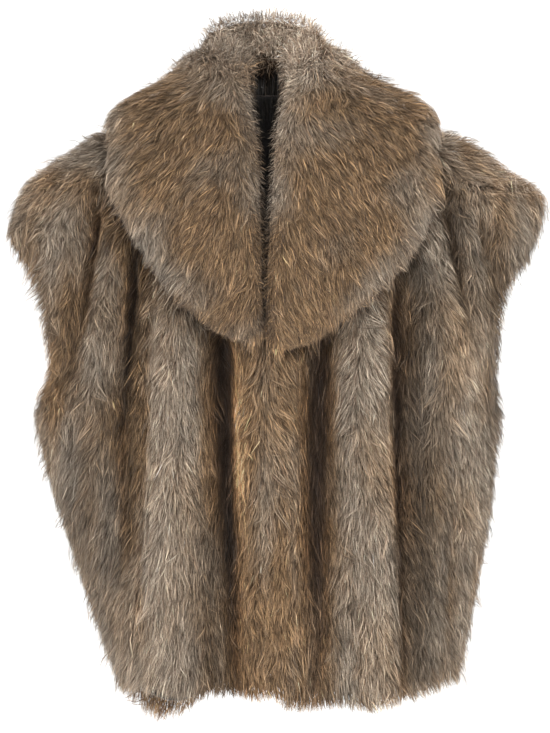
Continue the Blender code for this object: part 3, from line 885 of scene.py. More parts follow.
def node_tree(names):
    """The named CAD nodes' faces, for looking up what covers what."""
    vertices, faces = [], []
    for name in names:
        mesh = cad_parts[name].data
        start = len(vertices)
        vertices += [v.co.copy() for v in mesh.vertices]
        faces += [tuple(start + i for i in p.vertices) for p in mesh.polygons]
    return BVHTree.FromPolygons(vertices, faces)


def mix(a, b, share):
    return a + (b - a) * share[..., None]


# Uneven patterns: how they are squeezed along each axis, their size, their seed and how many waves make one.
Pattern = namedtuple("Pattern", "squeeze size seed waves", defaults=(9,))
EVEN = np.array([1.0, 1.0, 1.0])
SMALL_LOCKS = Pattern(np.array([1.0, 1.0, 0.5]), 13.0, 41, 14)
LARGE_LOCKS = Pattern(EVEN, 46.0, 42)
PANEL_STREAKS = Pattern(np.array([1.0, 1.0, 0.28]), 34.0, 11)
PANEL_PATCHES = Pattern(EVEN, 120.0, 12)
PANEL_SPOTS = Pattern(EVEN, 26.0, 13)
COLLAR_STREAKS = Pattern(np.array([0.6, 1.0, 0.5]), 36.0, 21)
COLLAR_PATCHES = Pattern(EVEN, 95.0, 22)
COLLAR_SPOTS = Pattern(EVEN, 24.0, 23)
LARGE_SWIRL = Pattern(EVEN, 70.0, 31)
SMALL_SWIRL = Pattern(EVEN, 22.0, 32)
LOCK_LIGHT = (0.13, 0.09)
# Dark spots lie where their pattern times this gain is higher than this start.
SPOT_GAIN = 1.2
SPOT_FROM = 0.7


def pattern(points, kind):
    return ripple(points * kind.squeeze, kind.size, kind.seed, kind.waves)


def locks(points):
    """How bright the locks are: small ones, and softer larger patches."""
    small, large = LOCK_LIGHT
    return 1.0 + small * pattern(points, SMALL_LOCKS) + large * pattern(points, LARGE_LOCKS)


def spots_of(points, kind, most):
    return clip01(most * smooth_step(pattern(points, kind) * SPOT_GAIN - SPOT_FROM))


# How golden the panels are everywhere, in streaks and patches, in the folds, and beside the centre line.
PANEL_GOLD = 0.14
STREAK_GOLD = 0.22
PATCH_GOLD = 0.18
SUNK_GOLD = 0.30
GOLDEN_SINKS = (4.0, 13.0)
CENTRE_GOLD = 0.45
CENTRE_X = (40.0, 14.0)
MOST_PANEL_SPOTS = 0.3
# A band's ends fade over this height, unless it runs to the hem.
BAND_FADE = 60.0
BAND_TO_HEM_Z = -680.0
# Zones of the panels that are more golden or lighter. side is 0 for both sides. Each is complete between
# the x, height and lower height called full, and gone at those called none.
Zone = namedtuple("Zone", "side x_none x_full z_none z_full low_none low_full gold light")
NO_END = (-1000, -999)
ZONES = (
    Zone(0, 170, 240, -230, -120, *NO_END, 0.25, 0.0),
    Zone(0, 215, 245, -140, -90, *NO_END, 0.0, 0.35),
    Zone(0, -1, 0, -640, -680, *NO_END, 0.25, 0.0),
    Zone(0, 80, 50, -580, -640, *NO_END, 0.30, 0.0),
    Zone(-1, 195, 235, -110, -170, -440, -380, 0.28, 0.0),
)


def panel_tone(skin, points, sunk):
    """How golden the fur is at these points of a panel, how spotted with dark, and its brightness, with the
    bands' painted shade.
    """
    x, z = points[..., 0], points[..., 2]
    gold = PANEL_GOLD + STREAK_GOLD * pattern(points, PANEL_STREAKS)
    gold += PATCH_GOLD * pattern(points, PANEL_PATCHES) + SUNK_GOLD * rise(sunk, *GOLDEN_SINKS)
    light = np.ones(len(points))
    if skin.name != "back":
        centre = along(CENTRE_LINE, "height", "x", z)
        gold += CENTRE_GOLD * rise(np.abs(x - centre), *CENTRE_X)
    # The bands darken the fur with painted shade, and lighten it where their shade is negative.
    for band in BANDS[skin.name]:
        share = np.exp(-(((x - fold_line(band, z)) / band.width) ** 2))
        if band.z_low > BAND_TO_HEM_Z:
            share = share * smooth_step(np.minimum(z - band.z_low, band.z_top - z) / BAND_FADE + 0.5)
        gold += band.gold * share
        light = light * (1 - band.shade * share)
    for zone in ZONES:
        share = rise(zone.side * x if zone.side else np.abs(x), zone.x_none, zone.x_full)
        share = share * rise(z, zone.z_none, zone.z_full) * rise(z, zone.low_none, zone.low_full)
        gold += zone.gold * share
        light = light * (1 + zone.light * share)
    return clip01(gold), spots_of(points, PANEL_SPOTS, MOST_PANEL_SPOTS), light * locks(points)


# The zones of a collar half: its lower end, the rim, the crown and the crown's top, the inner side beside
# the slit, and its streaks and patches, with how golden and how light each makes it.
CollarTone = namedtuple("CollarTone", "everywhere low rim crown top inner streaks patches")
COLLAR_GOLD = {
    "collar_right": CollarTone(0.98, 0.0, -0.66, -0.60, 0.0, -0.45, 0.26, 0.26),
    "collar_left": CollarTone(0.98, 0.0, -0.66, -0.60, 0.0, -0.80, 0.26, 0.26),
}
COLLAR_LIGHT = {
    "collar_right": CollarTone(1.0, 0.0, 0.10, 0.32, 0.36, 0.0, 0.0, 0.0),
    "collar_left": CollarTone(1.0, 0.10, 0.10, 0.60, 0.36, 0.42, 0.0, 0.0),
}
LOW_HEIGHTS = (-190.0, -250.0)
RIM_SHARES = (0.66, 0.92)
CROWN_HEIGHTS = (-20.0, 50.0)
TOP_HEIGHTS = (20.0, 70.0)
INNER_SHARES = (0.34, 0.10)
INNER_HEIGHTS = (-225.0, -95.0)
MOST_COLLAR_SPOTS = 0.4
COLLAR_SHADE = 0.72
# Painted shadow darkens the very edge of the wearer's right half, the fall over the shoulders is lighter, and
# painted shade darkens the slit.
EDGE_SHADE = {"collar_right": 0.4, "collar_left": 0.0}
EDGE_SHARES = (0.90, 0.98)
EDGE_HEIGHTS = (-110.0, -150.0)
FALL_LIGHT = 0.28
FALL_SHARES = (0.45, 0.75)
FALL_HEIGHTS = (-70.0, -10.0)
SLIT_SHADE = 0.62
SLIT_SHADE_X = 6.5
SLIT_TOP_HEIGHTS = (-90.0, -130.0)
SLIT_LOW_HEIGHTS = (-262.0, -238.0)


def collar_tone(skin, points, share):
    """The same for a collar half."""
    z = points[..., 2]
    low = rise(z, *LOW_HEIGHTS)
    zones = CollarTone(
        everywhere=1.0,
        low=low,
        rim=rise(share, *RIM_SHARES) * (1 - low),
        crown=rise(z, *CROWN_HEIGHTS),
        top=rise(z, *TOP_HEIGHTS),
        inner=rise(share, *INNER_SHARES) * rise(z, *INNER_HEIGHTS),
        streaks=pattern(points, COLLAR_STREAKS),
        patches=pattern(points, COLLAR_PATCHES),
    )
    gold = sum(weight * zone for weight, zone in zip(COLLAR_GOLD[skin.name], zones))
    light = sum(weight * zone for weight, zone in zip(COLLAR_LIGHT[skin.name], zones))
    # Painted shadow darkens the rim of the wearer's right half, and painted shade darkens the slit further
    # down.
    light = light * (1 - EDGE_SHADE[skin.name] * rise(share, *EDGE_SHARES) * rise(z, *EDGE_HEIGHTS))
    light = light + FALL_LIGHT * rise(share, *FALL_SHARES) * rise(z, *FALL_HEIGHTS)
    slit = np.exp(-((points[..., 0] / SLIT_SHADE_X) ** 2))
    slit = slit * rise(z, *SLIT_TOP_HEIGHTS) * rise(z, *SLIT_LOW_HEIGHTS)
    light = light * (1 - SLIT_SHADE * slit)
    return clip01(gold), spots_of(points, COLLAR_SPOTS, MOST_COLLAR_SPOTS), light * locks(points)


# How the colour of a hair changes from its root to its tip, and from hair to hair. A pair holds where a
# change starts and where it is complete, or the least and the greatest value.
# Roots darken with a hair's depth in a fold, as painted shade.
SUNK_DARK = 40.0
GOLD_SPREAD = 0.12
LIGHT_SPREAD = 0.34
GOLDEN_LIGHT_SPREAD = 0.14
DEEP_SPREAD = (-0.2, 0.3)
SHORT_HAIR_PLACES = (0.3, 0.88)
DARK_TIPS = 0.3
DARK_HAIRS = 0.24
DARK_HAIRS_IN_SPOTS = 0.3
BODY_AT_ROOT = 0.15
BODY_PLACES = (0.0, 0.6)
TIPPED_PLACES = (0.45, 0.85)
TIPPED = 0.6
DARK_TIP_PLACES = (0.7, 1.0)
DARK_TIP = 0.85
DARK_HAIR = 0.75
FLANK_SINKS = (6.0, 19.0)
FOLD_SINKS = (11.0, 27.0)
SHADOW_UMBER = 0.22
SPOT_SHADOW = 0.4
FOLD_SHADOW = 0.90
COLOUR_LIMITS = (0.002, 0.9)


def hair_colours(gold, spots, light, sunk, rng, nodes):
    """A colour for each node of each hair: dark roots, partly painted shade and darker in deep folds, a
    lighter length, and some dark tips.
    """
    hairs = len(gold)
    # Spots darken the roots, and painted shade darkens them deep in folds.
    dark = clip01(spots + sunk.mean(1) / SUNK_DARK)
    gold = clip01(gold + rng.normal(0, GOLD_SPREAD, hairs))
    own = np.exp(rng.normal(0, 1.0, hairs) * (LIGHT_SPREAD + GOLDEN_LIGHT_SPREAD * gold)) * light
    body = mix(linear(TAUPE), linear(GOLD), gold)
    tipped = mix(linear(PALE), linear(STRAW), gold)
    deep = mix(linear(UMBER), linear(SOOT), clip01(dark + rng.uniform(*DEEP_SPREAD, hairs)))
    shadow = (linear(SOOT) + SHADOW_UMBER * linear(UMBER)) * np.ones((hairs, 1))
    places = np.linspace(0, 1, nodes) if nodes > 2 else SHORT_HAIR_PLACES
    dark_tip = rng.uniform(0, 1, hairs) < DARK_TIPS
    dark_hair = rng.uniform(0, 1, hairs) < DARK_HAIRS + DARK_HAIRS_IN_SPOTS * dark
    result = np.zeros((hairs, nodes, 3))
    for k, place in enumerate(places):
        grown = BODY_AT_ROOT + (1 - BODY_AT_ROOT) * rise(place, *BODY_PLACES)
        colour = mix(deep, body, np.full(hairs, grown))
        colour = mix(colour, tipped, np.full(hairs, TIPPED * rise(place, *TIPPED_PLACES)))
        colour = mix(colour, deep, dark_tip * rise(place, *DARK_TIP_PLACES) * DARK_TIP)
        colour = mix(colour, deep, dark_hair * DARK_HAIR)
        # Painted shade on a fold's flanks, then painted shadow deeper in the fold.
        colour = mix(colour, colour * np.array(FLANK_PAINTED_SHADE), rise(sunk[:, k], *FLANK_SINKS))
        fold = FOLD_SHADOW * rise(sunk[:, k], *FOLD_SINKS)
        colour = mix(colour, shadow, clip01(SPOT_SHADOW * spots + fold))
        result[:, k] = colour * own[:, None]
    return np.clip(result, *COLOUR_LIMITS)


# How uneven the hairs are: the swirls of whole areas, then the spread of clumps and of single hairs.
LARGE_TURN = 0.20
SMALL_TURN = 0.12
LEAST_CLUMPS = 10
CLUMP_TURN = 0.13
CLUMP_LENGTHS = (0.8, 1.2)
CLUMP_LIGHT = 0.10
CLUMP_PULLS = (0.6, 1.2)
PULL_CURVE = 1.4
CLUMP_SPREAD = 1.2
HAIR_TURN = 0.16
HAIR_LENGTHS = (0.72, 1.12)
HAIR_TIP = 0.10
HAIR_WAVE = 0.55
WAVES_FROM_ROOT = 3
HAIR_WIDTHS = (0.65, 1.25)
HAIR_TWIST = 0.5
ACROSS_LIGHT = 0.32


def grow(skin, count, coat, weight, seed):
    """A batch of hairs on a skin. They lean together in clumps whose tips meet."""
    rng = np.random.default_rng(seed)
    clumps = max(count // coat.clump, LEAST_CLUMPS)
    c_rows, c_columns = scatter(skin, clumps, weight, rng)
    nodes = coat.nodes
    c_start = read(skin.outer, c_rows, c_columns)
    swirl = LARGE_TURN * pattern(c_start, LARGE_SWIRL) + SMALL_TURN * pattern(c_start, SMALL_SWIRL)
    c_turn = swirl + rng.normal(0, CLUMP_TURN, clumps)
    c_length = coat.length * rng.uniform(*CLUMP_LENGTHS, clumps)
    c_tip = rng.uniform(coat.low_tip, coat.high_tip, clumps)
    c_paths, _ = paths(skin, c_rows, c_columns, c_length, nodes, c_turn, c_tip)
    c_light = np.exp(rng.normal(0, CLUMP_LIGHT, clumps))
    c_pull = coat.clumping * rng.uniform(*CLUMP_PULLS, clumps)

    rows, columns = scatter(skin, count, weight, rng)
    start = read(skin.outer, rows, columns)
    tree = KDTree(clumps)
    for i, point in enumerate(c_start):
        tree.insert(point, i)
    tree.balance()
    mine = np.array([tree.find(point)[1] for point in start])
    turned = c_turn[mine] + rng.normal(0, HAIR_TURN, count)
    length = c_length[mine] * rng.uniform(*HAIR_LENGTHS, count)
    tip = c_tip[mine] + rng.normal(0, HAIR_TIP, count)
    if skin.name == "back":
        at_strip = np.exp(-(((start[:, 0] - STRIP_X) / STRIP_WIDTH) ** 2))
        length = length * (1 + STRIP_LONGER * at_strip * rise(start[:, 2], *STRIP_HEIGHTS))
    own, sunk = paths(skin, rows, columns, length, nodes, turned, tip)
    t = np.linspace(0, 1, nodes)
    pull = clip01(c_pull[mine])[:, None, None] * (t**PULL_CURVE)[None, :, None]
    spread = rng.normal(0, 1.0, (count, 1, 3)) * t[None, :, None]
    points = own * (1 - pull) + (c_paths[mine] + spread * CLUMP_SPREAD) * pull
    wave = rng.normal(0, HAIR_WAVE, (count, nodes, 3))
    points = points + wave * np.minimum(t * WAVES_FROM_ROOT, 1.0)[None, :, None]
    normals = unit(read_inside(skin.normal, rows, columns))
    if skin.name.startswith("collar"):
        gold, spots, light = collar_tone(skin, start, read_inside(skin.share, rows, columns))
        light = light * COLLAR_SHADE
    else:
        gold, spots, light = panel_tone(skin, start, sunk.max(1))
    colours = hair_colours(gold, spots, light * coat.shade * c_light[mine], sunk, rng, nodes)
    widths = coat.width * rng.uniform(*HAIR_WIDTHS, count)
    twist = rng.normal(0, HAIR_TWIST, count)
    across_light = np.exp(rng.normal(0, ACROSS_LIGHT, count))
    return hair_mesh(points, normals, widths, colours, twist, across_light)


def loose_hairs(points, normals, gold, spots, light, rng):
    """A batch of hairs of three nodes each that lie in no fold."""
    count = len(points)
    colours = hair_colours(gold, spots, light, np.zeros((count, 3)), rng, 3)
    widths = LONG_HAIR.width * rng.uniform(*HAIR_WIDTHS, count)
    return hair_mesh(points, normals, widths, colours, rng.normal(0, HAIR_TWIST, count), np.ones(count))


# The collar's lower end has longer hairs, which lie over the fronts below it.
TUFT_HAIRS = 900
TUFT_TOP_Z = -244.0
TUFT_REACH = 22.0
TUFT_LENGTH = (12.0, 34.0)
TUFT_SPREAD = 0.35
TUFT_SPREAD_X = 30.0
TUFT_TURN = 0.2
TUFT_TRIES = 60
TUFT_FACING = -0.2
TUFT_SHORTER = 0.6
TUFT_GAP = 1.0
TUFT_BOW = np.array([0.0, -3.0, 0.0])
TUFT_ROOT = np.array([0.0, 3.0, 2.0])
LOOSE_WAVE = 0.5
# About half the width of a front, for how deep it lies beside the centre.
FRONT_HALF_WIDTH = 260.0


def tuft(skin, seed):
    """A batch of hairs that start near the lower end of a collar half and end on the fronts."""
    rng = np.random.default_rng(seed)
    rows, columns = scatter(skin, TUFT_HAIRS * TUFT_TRIES, np.ones(skin.outer.shape[:2]), rng)
    start = read(skin.outer, rows, columns)
    outward_side = read_inside(skin.normal, rows, columns)[:, 1] < TUFT_FACING
    low = (start[:, 2] < TUFT_TOP_Z) & (np.abs(start[:, 0]) < TUFT_REACH)
    chosen = np.flatnonzero(low & outward_side)[:TUFT_HAIRS]
    start, count = start[chosen], len(chosen)
    length = rng.uniform(*TUFT_LENGTH, count) * (1 - TUFT_SHORTER * np.abs(start[:, 0]) / TUFT_REACH)
    turned = TUFT_SPREAD * start[:, 0] / TUFT_SPREAD_X + rng.normal(0, TUFT_TURN, count)
    end = start + np.stack([np.sin(turned), 0 * turned, -np.cos(turned)], -1) * length[:, None]
    roundness = (1 - (np.abs(end[:, 0]) / FRONT_HALF_WIDTH) ** SQUARENESS) ** (1 / SQUARENESS)
    end[:, 1] = -depth(end[:, 2], "front") * roundness - TUFT_GAP
    points = np.stack([start + TUFT_ROOT, (start + end) / 2 + TUFT_BOW, end], 1)
    points = points + rng.normal(0, LOOSE_WAVE, (count, 3, 3))
    share = read_inside(skin.share, rows[chosen], columns[chosen])
    gold, spots, light = collar_tone(skin, start, share)
    normals = np.tile([0.0, -1.0, 0.0], (count, 1))
    return loose_hairs(points, normals, gold, spots, light * (1 + COLLAR_SHADE) / 2, rng)


# Loose hairs stand up on the crown, cross the neck slit, and hang over the neck seam inside. The slit's and
# the seam's are darkened through their light and spots as painted shade inside the neck.
Stray = namedtuple("Stray", "count shortest longest light spots along_normal way spread")
CROWN_STRAY = Stray(2300, 8.0, 18.0, 1.1, 0.0, 0.35, (0.0, -0.25, -0.02), 0.38)
SLIT_STRAY = Stray(1500, 5.0, 12.0, 0.75, 0.2, 0.0, (-0.6, -0.30, -0.55), 0.25)
SEAM_STRAY = Stray(700, 25.0, 60.0, 0.12, 1.0, 0.0, (0.0, -0.50, -1.0), 0.10)
STRAYS = (CROWN_STRAY, SLIT_STRAY, SEAM_STRAY)
# Crown hairs grow from this height on, where the skin faces up or forward, and fewer away from the slit.
CROWN_STRAY_HEIGHTS = (4.0, 34.0)
CROWN_FORWARD = 0.5
CROWN_LEAST_FACING = 0.1
CROWN_FEWER = 0.85
CROWN_FEWER_X = (48.0, 68.0)
# Slit hairs grow near the slit where the skin faces it, and seam hairs inside the neck facing forward.
SLIT_STRAY_X = 24.0
SLIT_LEAST_FACING = 0.2
SEAM_STRAY_Y = 30.0
SEAM_LEAST_FACING = 0.3
SEAM_STRAY_HEIGHTS = (-4.0, 24.0)
STRAY_DROP = np.array([0.0, 0.0, -0.3])
STRAY_ROOT = 3.0


def stray(skin, kind, seed):
    """A batch of loose hairs of one kind on a collar half."""
    rng = np.random.default_rng(seed)
    side = -1 if skin.name == "collar_right" else 1
    x, y, z = skin.outer[..., 0], skin.outer[..., 1], skin.outer[..., 2]
    facing = unit(skin.normal)
    if kind is CROWN_STRAY:
        facing_out = facing[..., 2] - CROWN_FORWARD * facing[..., 1]
        weight = rise(z, *CROWN_STRAY_HEIGHTS) * (facing_out > CROWN_LEAST_FACING)
        weight = weight * (1 - CROWN_FEWER * rise(np.abs(x), *CROWN_FEWER_X))
    elif kind is SLIT_STRAY:
        beside = (np.abs(x) < SLIT_STRAY_X) & (y < SLIT_BACK_Y)
        weight = 1.0 * (beside & (-side * facing[..., 0] > SLIT_LEAST_FACING))
    else:
        low, high = SEAM_STRAY_HEIGHTS
        inside = (y > SEAM_STRAY_Y) & (facing[..., 1] < -SEAM_LEAST_FACING)
        weight = 1.0 * (inside & (z > low) & (z < high))
    count = kind.count
    rows, columns = scatter(skin, count, weight, rng)
    start = read(skin.outer, rows, columns)
    normals = unit(read_inside(skin.normal, rows, columns))
    way = kind.along_normal * normals + np.array(kind.way) * np.array([side, 1.0, 1.0])
    way = unit(way + rng.normal(0, kind.spread, (count, 3)))
    half = 0.5 * rng.uniform(kind.shortest, kind.longest, count)[:, None]
    middle = start + way * half
    end = middle + unit(way + STRAY_DROP) * half
    points = np.stack([start - STRAY_ROOT * normals, middle, end], 1)
    gold, spots, light = collar_tone(skin, start, read_inside(skin.share, rows, columns))
    # The slit's and the seam's hairs are darkened by their light and extra spots, as painted shade inside the
    # neck.
    light = light * COLLAR_SHADE * kind.light
    return loose_hairs(points, normals, gold, clip01(spots + kind.spots), light, rng)


def set_inputs(node, values):
    for name, value in values.items():
        node.inputs[name].default_value = value
    return node


def shader_of(name, values):
    """A new material and its shader, with these inputs."""
    material = bpy.data.materials.new(name)
    material.use_nodes = True
    return material, set_inputs(material.node_tree.nodes["Principled BSDF"], values)


def fur_material():
    """Hair in the colours of its own vertices, with a soft sheen."""
    sheen = {"Sheen Weight": 0.10, "Sheen Roughness": 0.45, "Sheen Tint": (0.85, 0.72, 0.58, 1.0)}
    material, shader = shader_of("fur_hair", {"Roughness": 0.55, "Specular IOR Level": 0.25, **sheen})
    tone = material.node_tree.nodes.new("ShaderNodeVertexColor")
    tone.layer_name = "tone"
    material.node_tree.links.new(tone.outputs["Color"], shader.inputs["Base Color"])
    return material


def cloth_material(name, dark, light, cell):
    """A knitted backing: rows of small loops, uneven in colour."""
    material, shader = shader_of(name, {"Roughness": 0.9, "Sheen Weight": 0.2})
    nodes, links = material.node_tree.nodes, material.node_tree.links
    place = nodes.new("ShaderNodeTexCoord")
    rows = nodes.new("ShaderNodeTexWave")
    rows.wave_type = "BANDS"
    rows.bands_direction = "Z"
    set_inputs(rows, {"Scale": cell, "Distortion": 2.0, "Detail": 2.0, "Detail Scale": 2.0})
    mottle = set_inputs(nodes.new("ShaderNodeTexNoise"), {"Scale": 60.0, "Detail": 6.0})
    both = nodes.new("ShaderNodeMath")
    both.operation = "MULTIPLY"
    ramp = nodes.new("ShaderNodeValToRGB")
    ramp.color_ramp.elements[0].color = (*linear(dark), 1)
    ramp.color_ramp.elements[1].color = (*linear(light), 1)
    ramp.color_ramp.elements[1].position = 0.6
    bump = set_inputs(nodes.new("ShaderNodeBump"), {"Strength": 0.35, "Distance": 0.0006})
    links.new(place.outputs["Object"], rows.inputs["Vector"])
    links.new(place.outputs["Object"], mottle.inputs["Vector"])
    links.new(rows.outputs["Fac"], both.inputs[0])
    links.new(mottle.outputs["Fac"], both.inputs[1])
    links.new(both.outputs["Value"], ramp.inputs["Fac"])
    links.new(ramp.outputs["Color"], shader.inputs["Base Color"])
    links.new(rows.outputs["Fac"], bump.inputs["Height"])
    links.new(bump.outputs["Normal"], shader.inputs["Normal"])
    return material


def closed_wall(name, outer, inner, materials):
    """One closed wall from two grids of points in millimetres, joined round their edges."""
    rows, columns = outer.shape[:2]
    count = rows * columns
    points = np.concatenate([outer.reshape(-1, 3), inner.reshape(-1, 3)]) * MM
    faces, kinds = [], []
    for r in range(rows - 1):
        for c in range(columns - 1):
            a = r * columns + c
            quad = (a, a + 1, a + columns + 1, a + columns)
            faces.append(quad)
            faces.append(tuple(count + i for i in reversed(quad)))
            kinds += [0, 1]
    rim = list(range(columns))
    rim += [r * columns + columns - 1 for r in range(1, rows)]
    rim += [(rows - 1) * columns + c for c in range(columns - 2, -1, -1)]
    rim += [r * columns for r in range(rows - 2, 0, -1)]
    for a, b in zip(rim, rim[1:] + rim[:1]):
        faces.append((a, count + a, count + b, b))
        kinds.append(0)
    return cloth_object(name, points, faces, kinds, materials)


def cloth_object(name, points, faces, kinds, materials):
    mesh = bpy.data.meshes.new(name)
    mesh.from_pydata([tuple(p) for p in points], [], faces)
    for material in materials:
        mesh.materials.append(material)
    mesh.polygons.foreach_set("material_index", np.array(kinds, np.int32))
    mesh.shade_smooth()
    thing = placed(name, mesh)
    # A closed form whose faces point inward has a negative volume.
    corners = np.array([mesh.vertices[v].co for p in mesh.polygons for v in p.vertices[:3]])
    a, b, c = corners.reshape(-1, 3, 3).transpose(1, 0, 2)
    if (a * np.cross(b, c)).sum() < 0:
        mesh.flip_normals()
    return thing


# How far the cloth stays inside its skin's rim, in grid cells, and how much farther at an open edge.
SEAM_INSET = 0.1
OPEN_INSET = 1.4
CENTRE_OPEN = 0.35
LEAST_THROUGH = 0.3


def panel_cloth(skin, materials):
    high, wide = skin.outer.shape[:2]
    lowest = np.abs(skin.outer[-1, :, 2] - skin.outer[0, :, 2])
    r = np.linspace(0, 1, CLOTH_ROWS)[:, None] * (high - 1)
    c = np.linspace(0, 1, CLOTH_COLUMNS if skin.name != "back" else 2 * CLOTH_COLUMNS)[None, :]
    c = c * (wide - 1)
    r, c = np.broadcast_arrays(r, c)
    stop = 1 - CLOTH_HEM / read(lowest[None, :].repeat(2, 0), np.zeros_like(c), c)
    r = 1.0 + (r / (high - 1)) * (stop * (high - 1) - 1.0)
    # The cloth stops short of an open edge, where its hairs reach over, and meets its neighbour at a seam.
    level = read(skin.outer[..., 2], r, c)
    open_side = in_armhole(level)
    first = open_side if skin.name == "back" else np.ones_like(level)
    first = np.where((skin.name != "back") & (level < BREAK_Z), CENTRE_OPEN, first)
    inset_first, inset_last = SEAM_INSET + OPEN_INSET * first, SEAM_INSET + OPEN_INSET * open_side
    c = inset_first + c / (wide - 1) * (wide - 1 - inset_first - inset_last)
    outer = read(skin.root, r, c)
    normal = unit(read(skin.normal, r, c))
    thin = unit(read(skin.outer, r, c) - outer)
    way = np.where((np.abs((thin * normal).sum(-1)) > LEAST_THROUGH)[..., None], thin, normal)
    return closed_wall(skin.name + "_cloth", outer, outer - CLOTH * way, materials)


# The collar's cloth: its stations, the points round each, and how far it stays inside the skin's ends.
BAG_STATIONS = 60
BAG_LOOP = 34
BAG_INSET = 0.6


def collar_cloth(skin, materials):
    """The collar's doubled cloth, one closed bag under the pile of a half."""
    high, wide = skin.outer.shape[:2]
    stations, loop = BAG_STATIONS, BAG_LOOP
    r = np.linspace(BAG_INSET, high - 1 - BAG_INSET, stations)[:, None]
    c = np.linspace(0, wide - 1, loop)[None, :]
    r, c = np.broadcast_arrays(r, c)
    points = read(skin.root, r, c).reshape(-1, 3) * MM
    faces = []
    for s in range(stations - 1):
        for i in range(loop):
            a, b = s * loop + i, s * loop + (i + 1) % loop
            faces.append((a, b, b + loop, a + loop))
    for start in (0, (stations - 1) * loop):
        for i in range(loop // 2 - 1):
            faces.append((start + i, start + i + 1, start + loop - 2 - i, start + loop - 1 - i))
    kinds = [0] * len(faces)
    thing = cloth_object(skin.name + "_cloth", points, faces, kinds, materials[:1])
    shape = bmesh.new()
    shape.from_mesh(thing.data)
    bmesh.ops.recalc_face_normals(shape, faces=shape.faces)
    shape.to_mesh(thing.data)
    shape.free()
    return thing


def add_camera():
    data = bpy.data.cameras.new("camera")
    data.sensor_width = SENSOR
    data.lens = SENSOR * (FRAME_Y - CAMERA_Y) / FRAME_HEIGHT
    data.clip_end = 100.0
    camera = placed("camera", data)
    camera.location = (CAMERA_X * MM, CAMERA_Y * MM, CAMERA_Z * MM)
    camera.rotation_euler = (math.pi / 2, 0.0, 0.0)
    bpy.context.scene.camera = camera


Lamp = namedtuple("Lamp", "name place size power")
LAMPS = (
    Lamp("left", (-2.3, -3.5, 1.5), 1.6, 125.0),
    Lamp("right", (2.2, -3.6, 1.1), 1.6, 105.0),
    Lamp("top", (0.2, -0.6, 2.8), 1.8, 70.0),
    Lamp("rear", (0.8, 3.4, 1.2), 2.2, 70.0),
)
LAMPS_AIM = Vector((0.0, 0.0, -0.3))
AMBIENT = 0.45
WHITE = (1, 1, 1, 1)


def add_lights():
    for lamp in LAMPS:
        data = bpy.data.lights.new(lamp.name, "AREA")
        data.shape = "DISK"
        data.size = lamp.size
        data.energy = lamp.power
        thing = placed(lamp.name, data)
        thing.location = lamp.place
        aim = LAMPS_AIM - Vector(lamp.place)
        thing.rotation_euler = aim.to_track_quat("-Z", "Y").to_euler()
        thing.visible_camera = False
    world = bpy.data.worlds.new("studio")
    world.use_nodes = True
    set_inputs(world.node_tree.nodes["Background"], {"Color": WHITE, "Strength": AMBIENT})
    bpy.context.scene.world = world
    bpy.context.scene.view_settings.view_transform = "Standard"


FLOOR_Z = -1.05
FLOOR_SPOKES = 96
# The floor's rings in metres: radius, and height over the middle.
FLOOR_RINGS = ((1.5, 0.0), (4.0, 0.0), (10.0, 0.05), (16.0, 0.3), (21.0, 1.4), (25.0, 4.0))
FLOOR_RINGS += ((27.5, 8.0), (28.5, 14.0), (29.0, 22.0))
FLOOR_LOOK = {
    "Base Color": (0.86, 0.86, 0.86, 1),
    "Roughness": 0.9,
    "Emission Color": WHITE,
    "Emission Strength": 0.55,
}


def add_floor():
    """A pale round floor whose far rim curves up on all sides."""
    points, faces = [], []
    for radius, height in FLOOR_RINGS:
        for i in range(FLOOR_SPOKES):
            angle = 2 * math.pi * i / FLOOR_SPOKES
            points.append((radius * math.cos(angle), radius * math.sin(angle), FLOOR_Z + height))
    points.append((0.0, 0.0, FLOOR_Z))
    for i in range(FLOOR_SPOKES):
        faces.append((len(points) - 1, i, (i + 1) % FLOOR_SPOKES))
    for ring in range(len(FLOOR_RINGS) - 1):
        for i in range(FLOOR_SPOKES):
            a, b = ring * FLOOR_SPOKES + i, ring * FLOOR_SPOKES + (i + 1) % FLOOR_SPOKES
            faces.append((a, a + FLOOR_SPOKES, b + FLOOR_SPOKES, b))
    mesh = bpy.data.meshes.new("floor")
    mesh.from_pydata(points, [], faces)
    mesh.shade_smooth()
    mesh.materials.append(shader_of("floor_white", FLOOR_LOOK)[0])
    placed("floor", mesh)


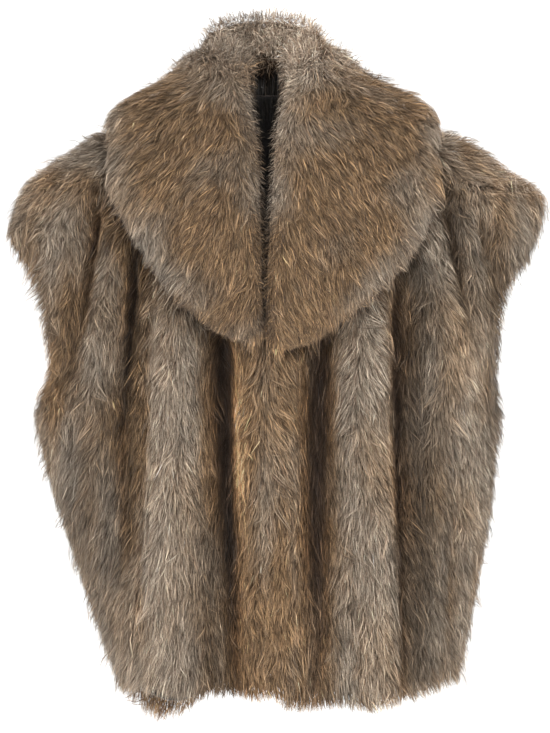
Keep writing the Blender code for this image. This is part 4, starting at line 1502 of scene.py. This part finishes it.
# Hairs to a piece, by coat. A hair of 3 nodes has 3 triangles, and one of 2 nodes has 1.
COATS = (UNDERFUR, LONG_HAIR, FINE_HAIR, GUARD_HAIR)
HAIRS = {
    "front_right": (20000, 18000, 98000, 5000),
    "front_left": (20000, 18000, 98000, 5000),
    "back": (21000, 18000, 98000, 4500),
    "collar_right": (15000, 18000, 96000, 4500),
    "collar_left": (15000, 18000, 96000, 4500),
}
# The hidden inside of a collar's roll and the panels' skin under the collar get fewer hairs.
ROLL_INSIDE_ANGLE = -0.35
ROLL_INSIDE_SHARE = 0.4
UNDER_COLLAR_LESS = 0.85
GUARD_ANGLE = 0.08 * math.pi
LEAST_ROOM = CLOTH_HEM + HEM_REACH - 2.0
# A name, the dark and the light colour of its loops, and how many loops there are to a length. Both are
# dark for painted shade: the backing under the pile and in the collar, partly its own dark colour, and the
# knit on the inside of the vest, seen through the neck slit.
BACKINGS = (("underfur", SOOT, UMBER, 900.0), ("knit_back", (12, 9, 7), (25, 19, 14), 420.0))


def main():
    add_camera()
    add_lights()
    add_floor()
    hair = fur_material()
    backing = [cloth_material(*row) for row in BACKINGS]
    collars = node_tree(("collar_right", "collar_left"))
    thin = 1.0
    for i, name in enumerate(HAIRS):
        collar = name.startswith("collar")
        skin = collar_skin(name) if collar else panel_skin(name)
        if collar:
            angle = np.linspace(-COLLAR_WRAP, COLLAR_WRAP, COLLAR_COLUMNS)[None, :]
            weight = np.where(angle < ROLL_INSIDE_ANGLE, ROLL_INSIDE_SHARE, 1.0) + 0 * skin.outer[..., 0]
            cloth = collar_cloth(skin, backing)
        else:
            weight = 1.0 - UNDER_COLLAR_LESS * covered(skin, collars) * (1 - near_neckline(skin))
            weight = weight * (skin.room > LEAST_ROOM)
            cloth = panel_cloth(skin, backing)
        batches = []
        for k, (coat, count) in enumerate(zip(COATS, HAIRS[name])):
            if collar and coat is GUARD_HAIR:
                weight = weight * (angle > GUARD_ANGLE)
            batches.append(grow(skin, int(count * thin), coat, weight, 100 * k + i))
        if collar:
            batches.append(tuft(skin, 900 + i))
            batches += [stray(skin, kind, 910 + 10 * k + i) for k, kind in enumerate(STRAYS)]
        fur = joined_hair(name + "_fur", batches, hair)
        for thing in (cloth, fur):
            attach(thing, "root")
        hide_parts(name)


main()
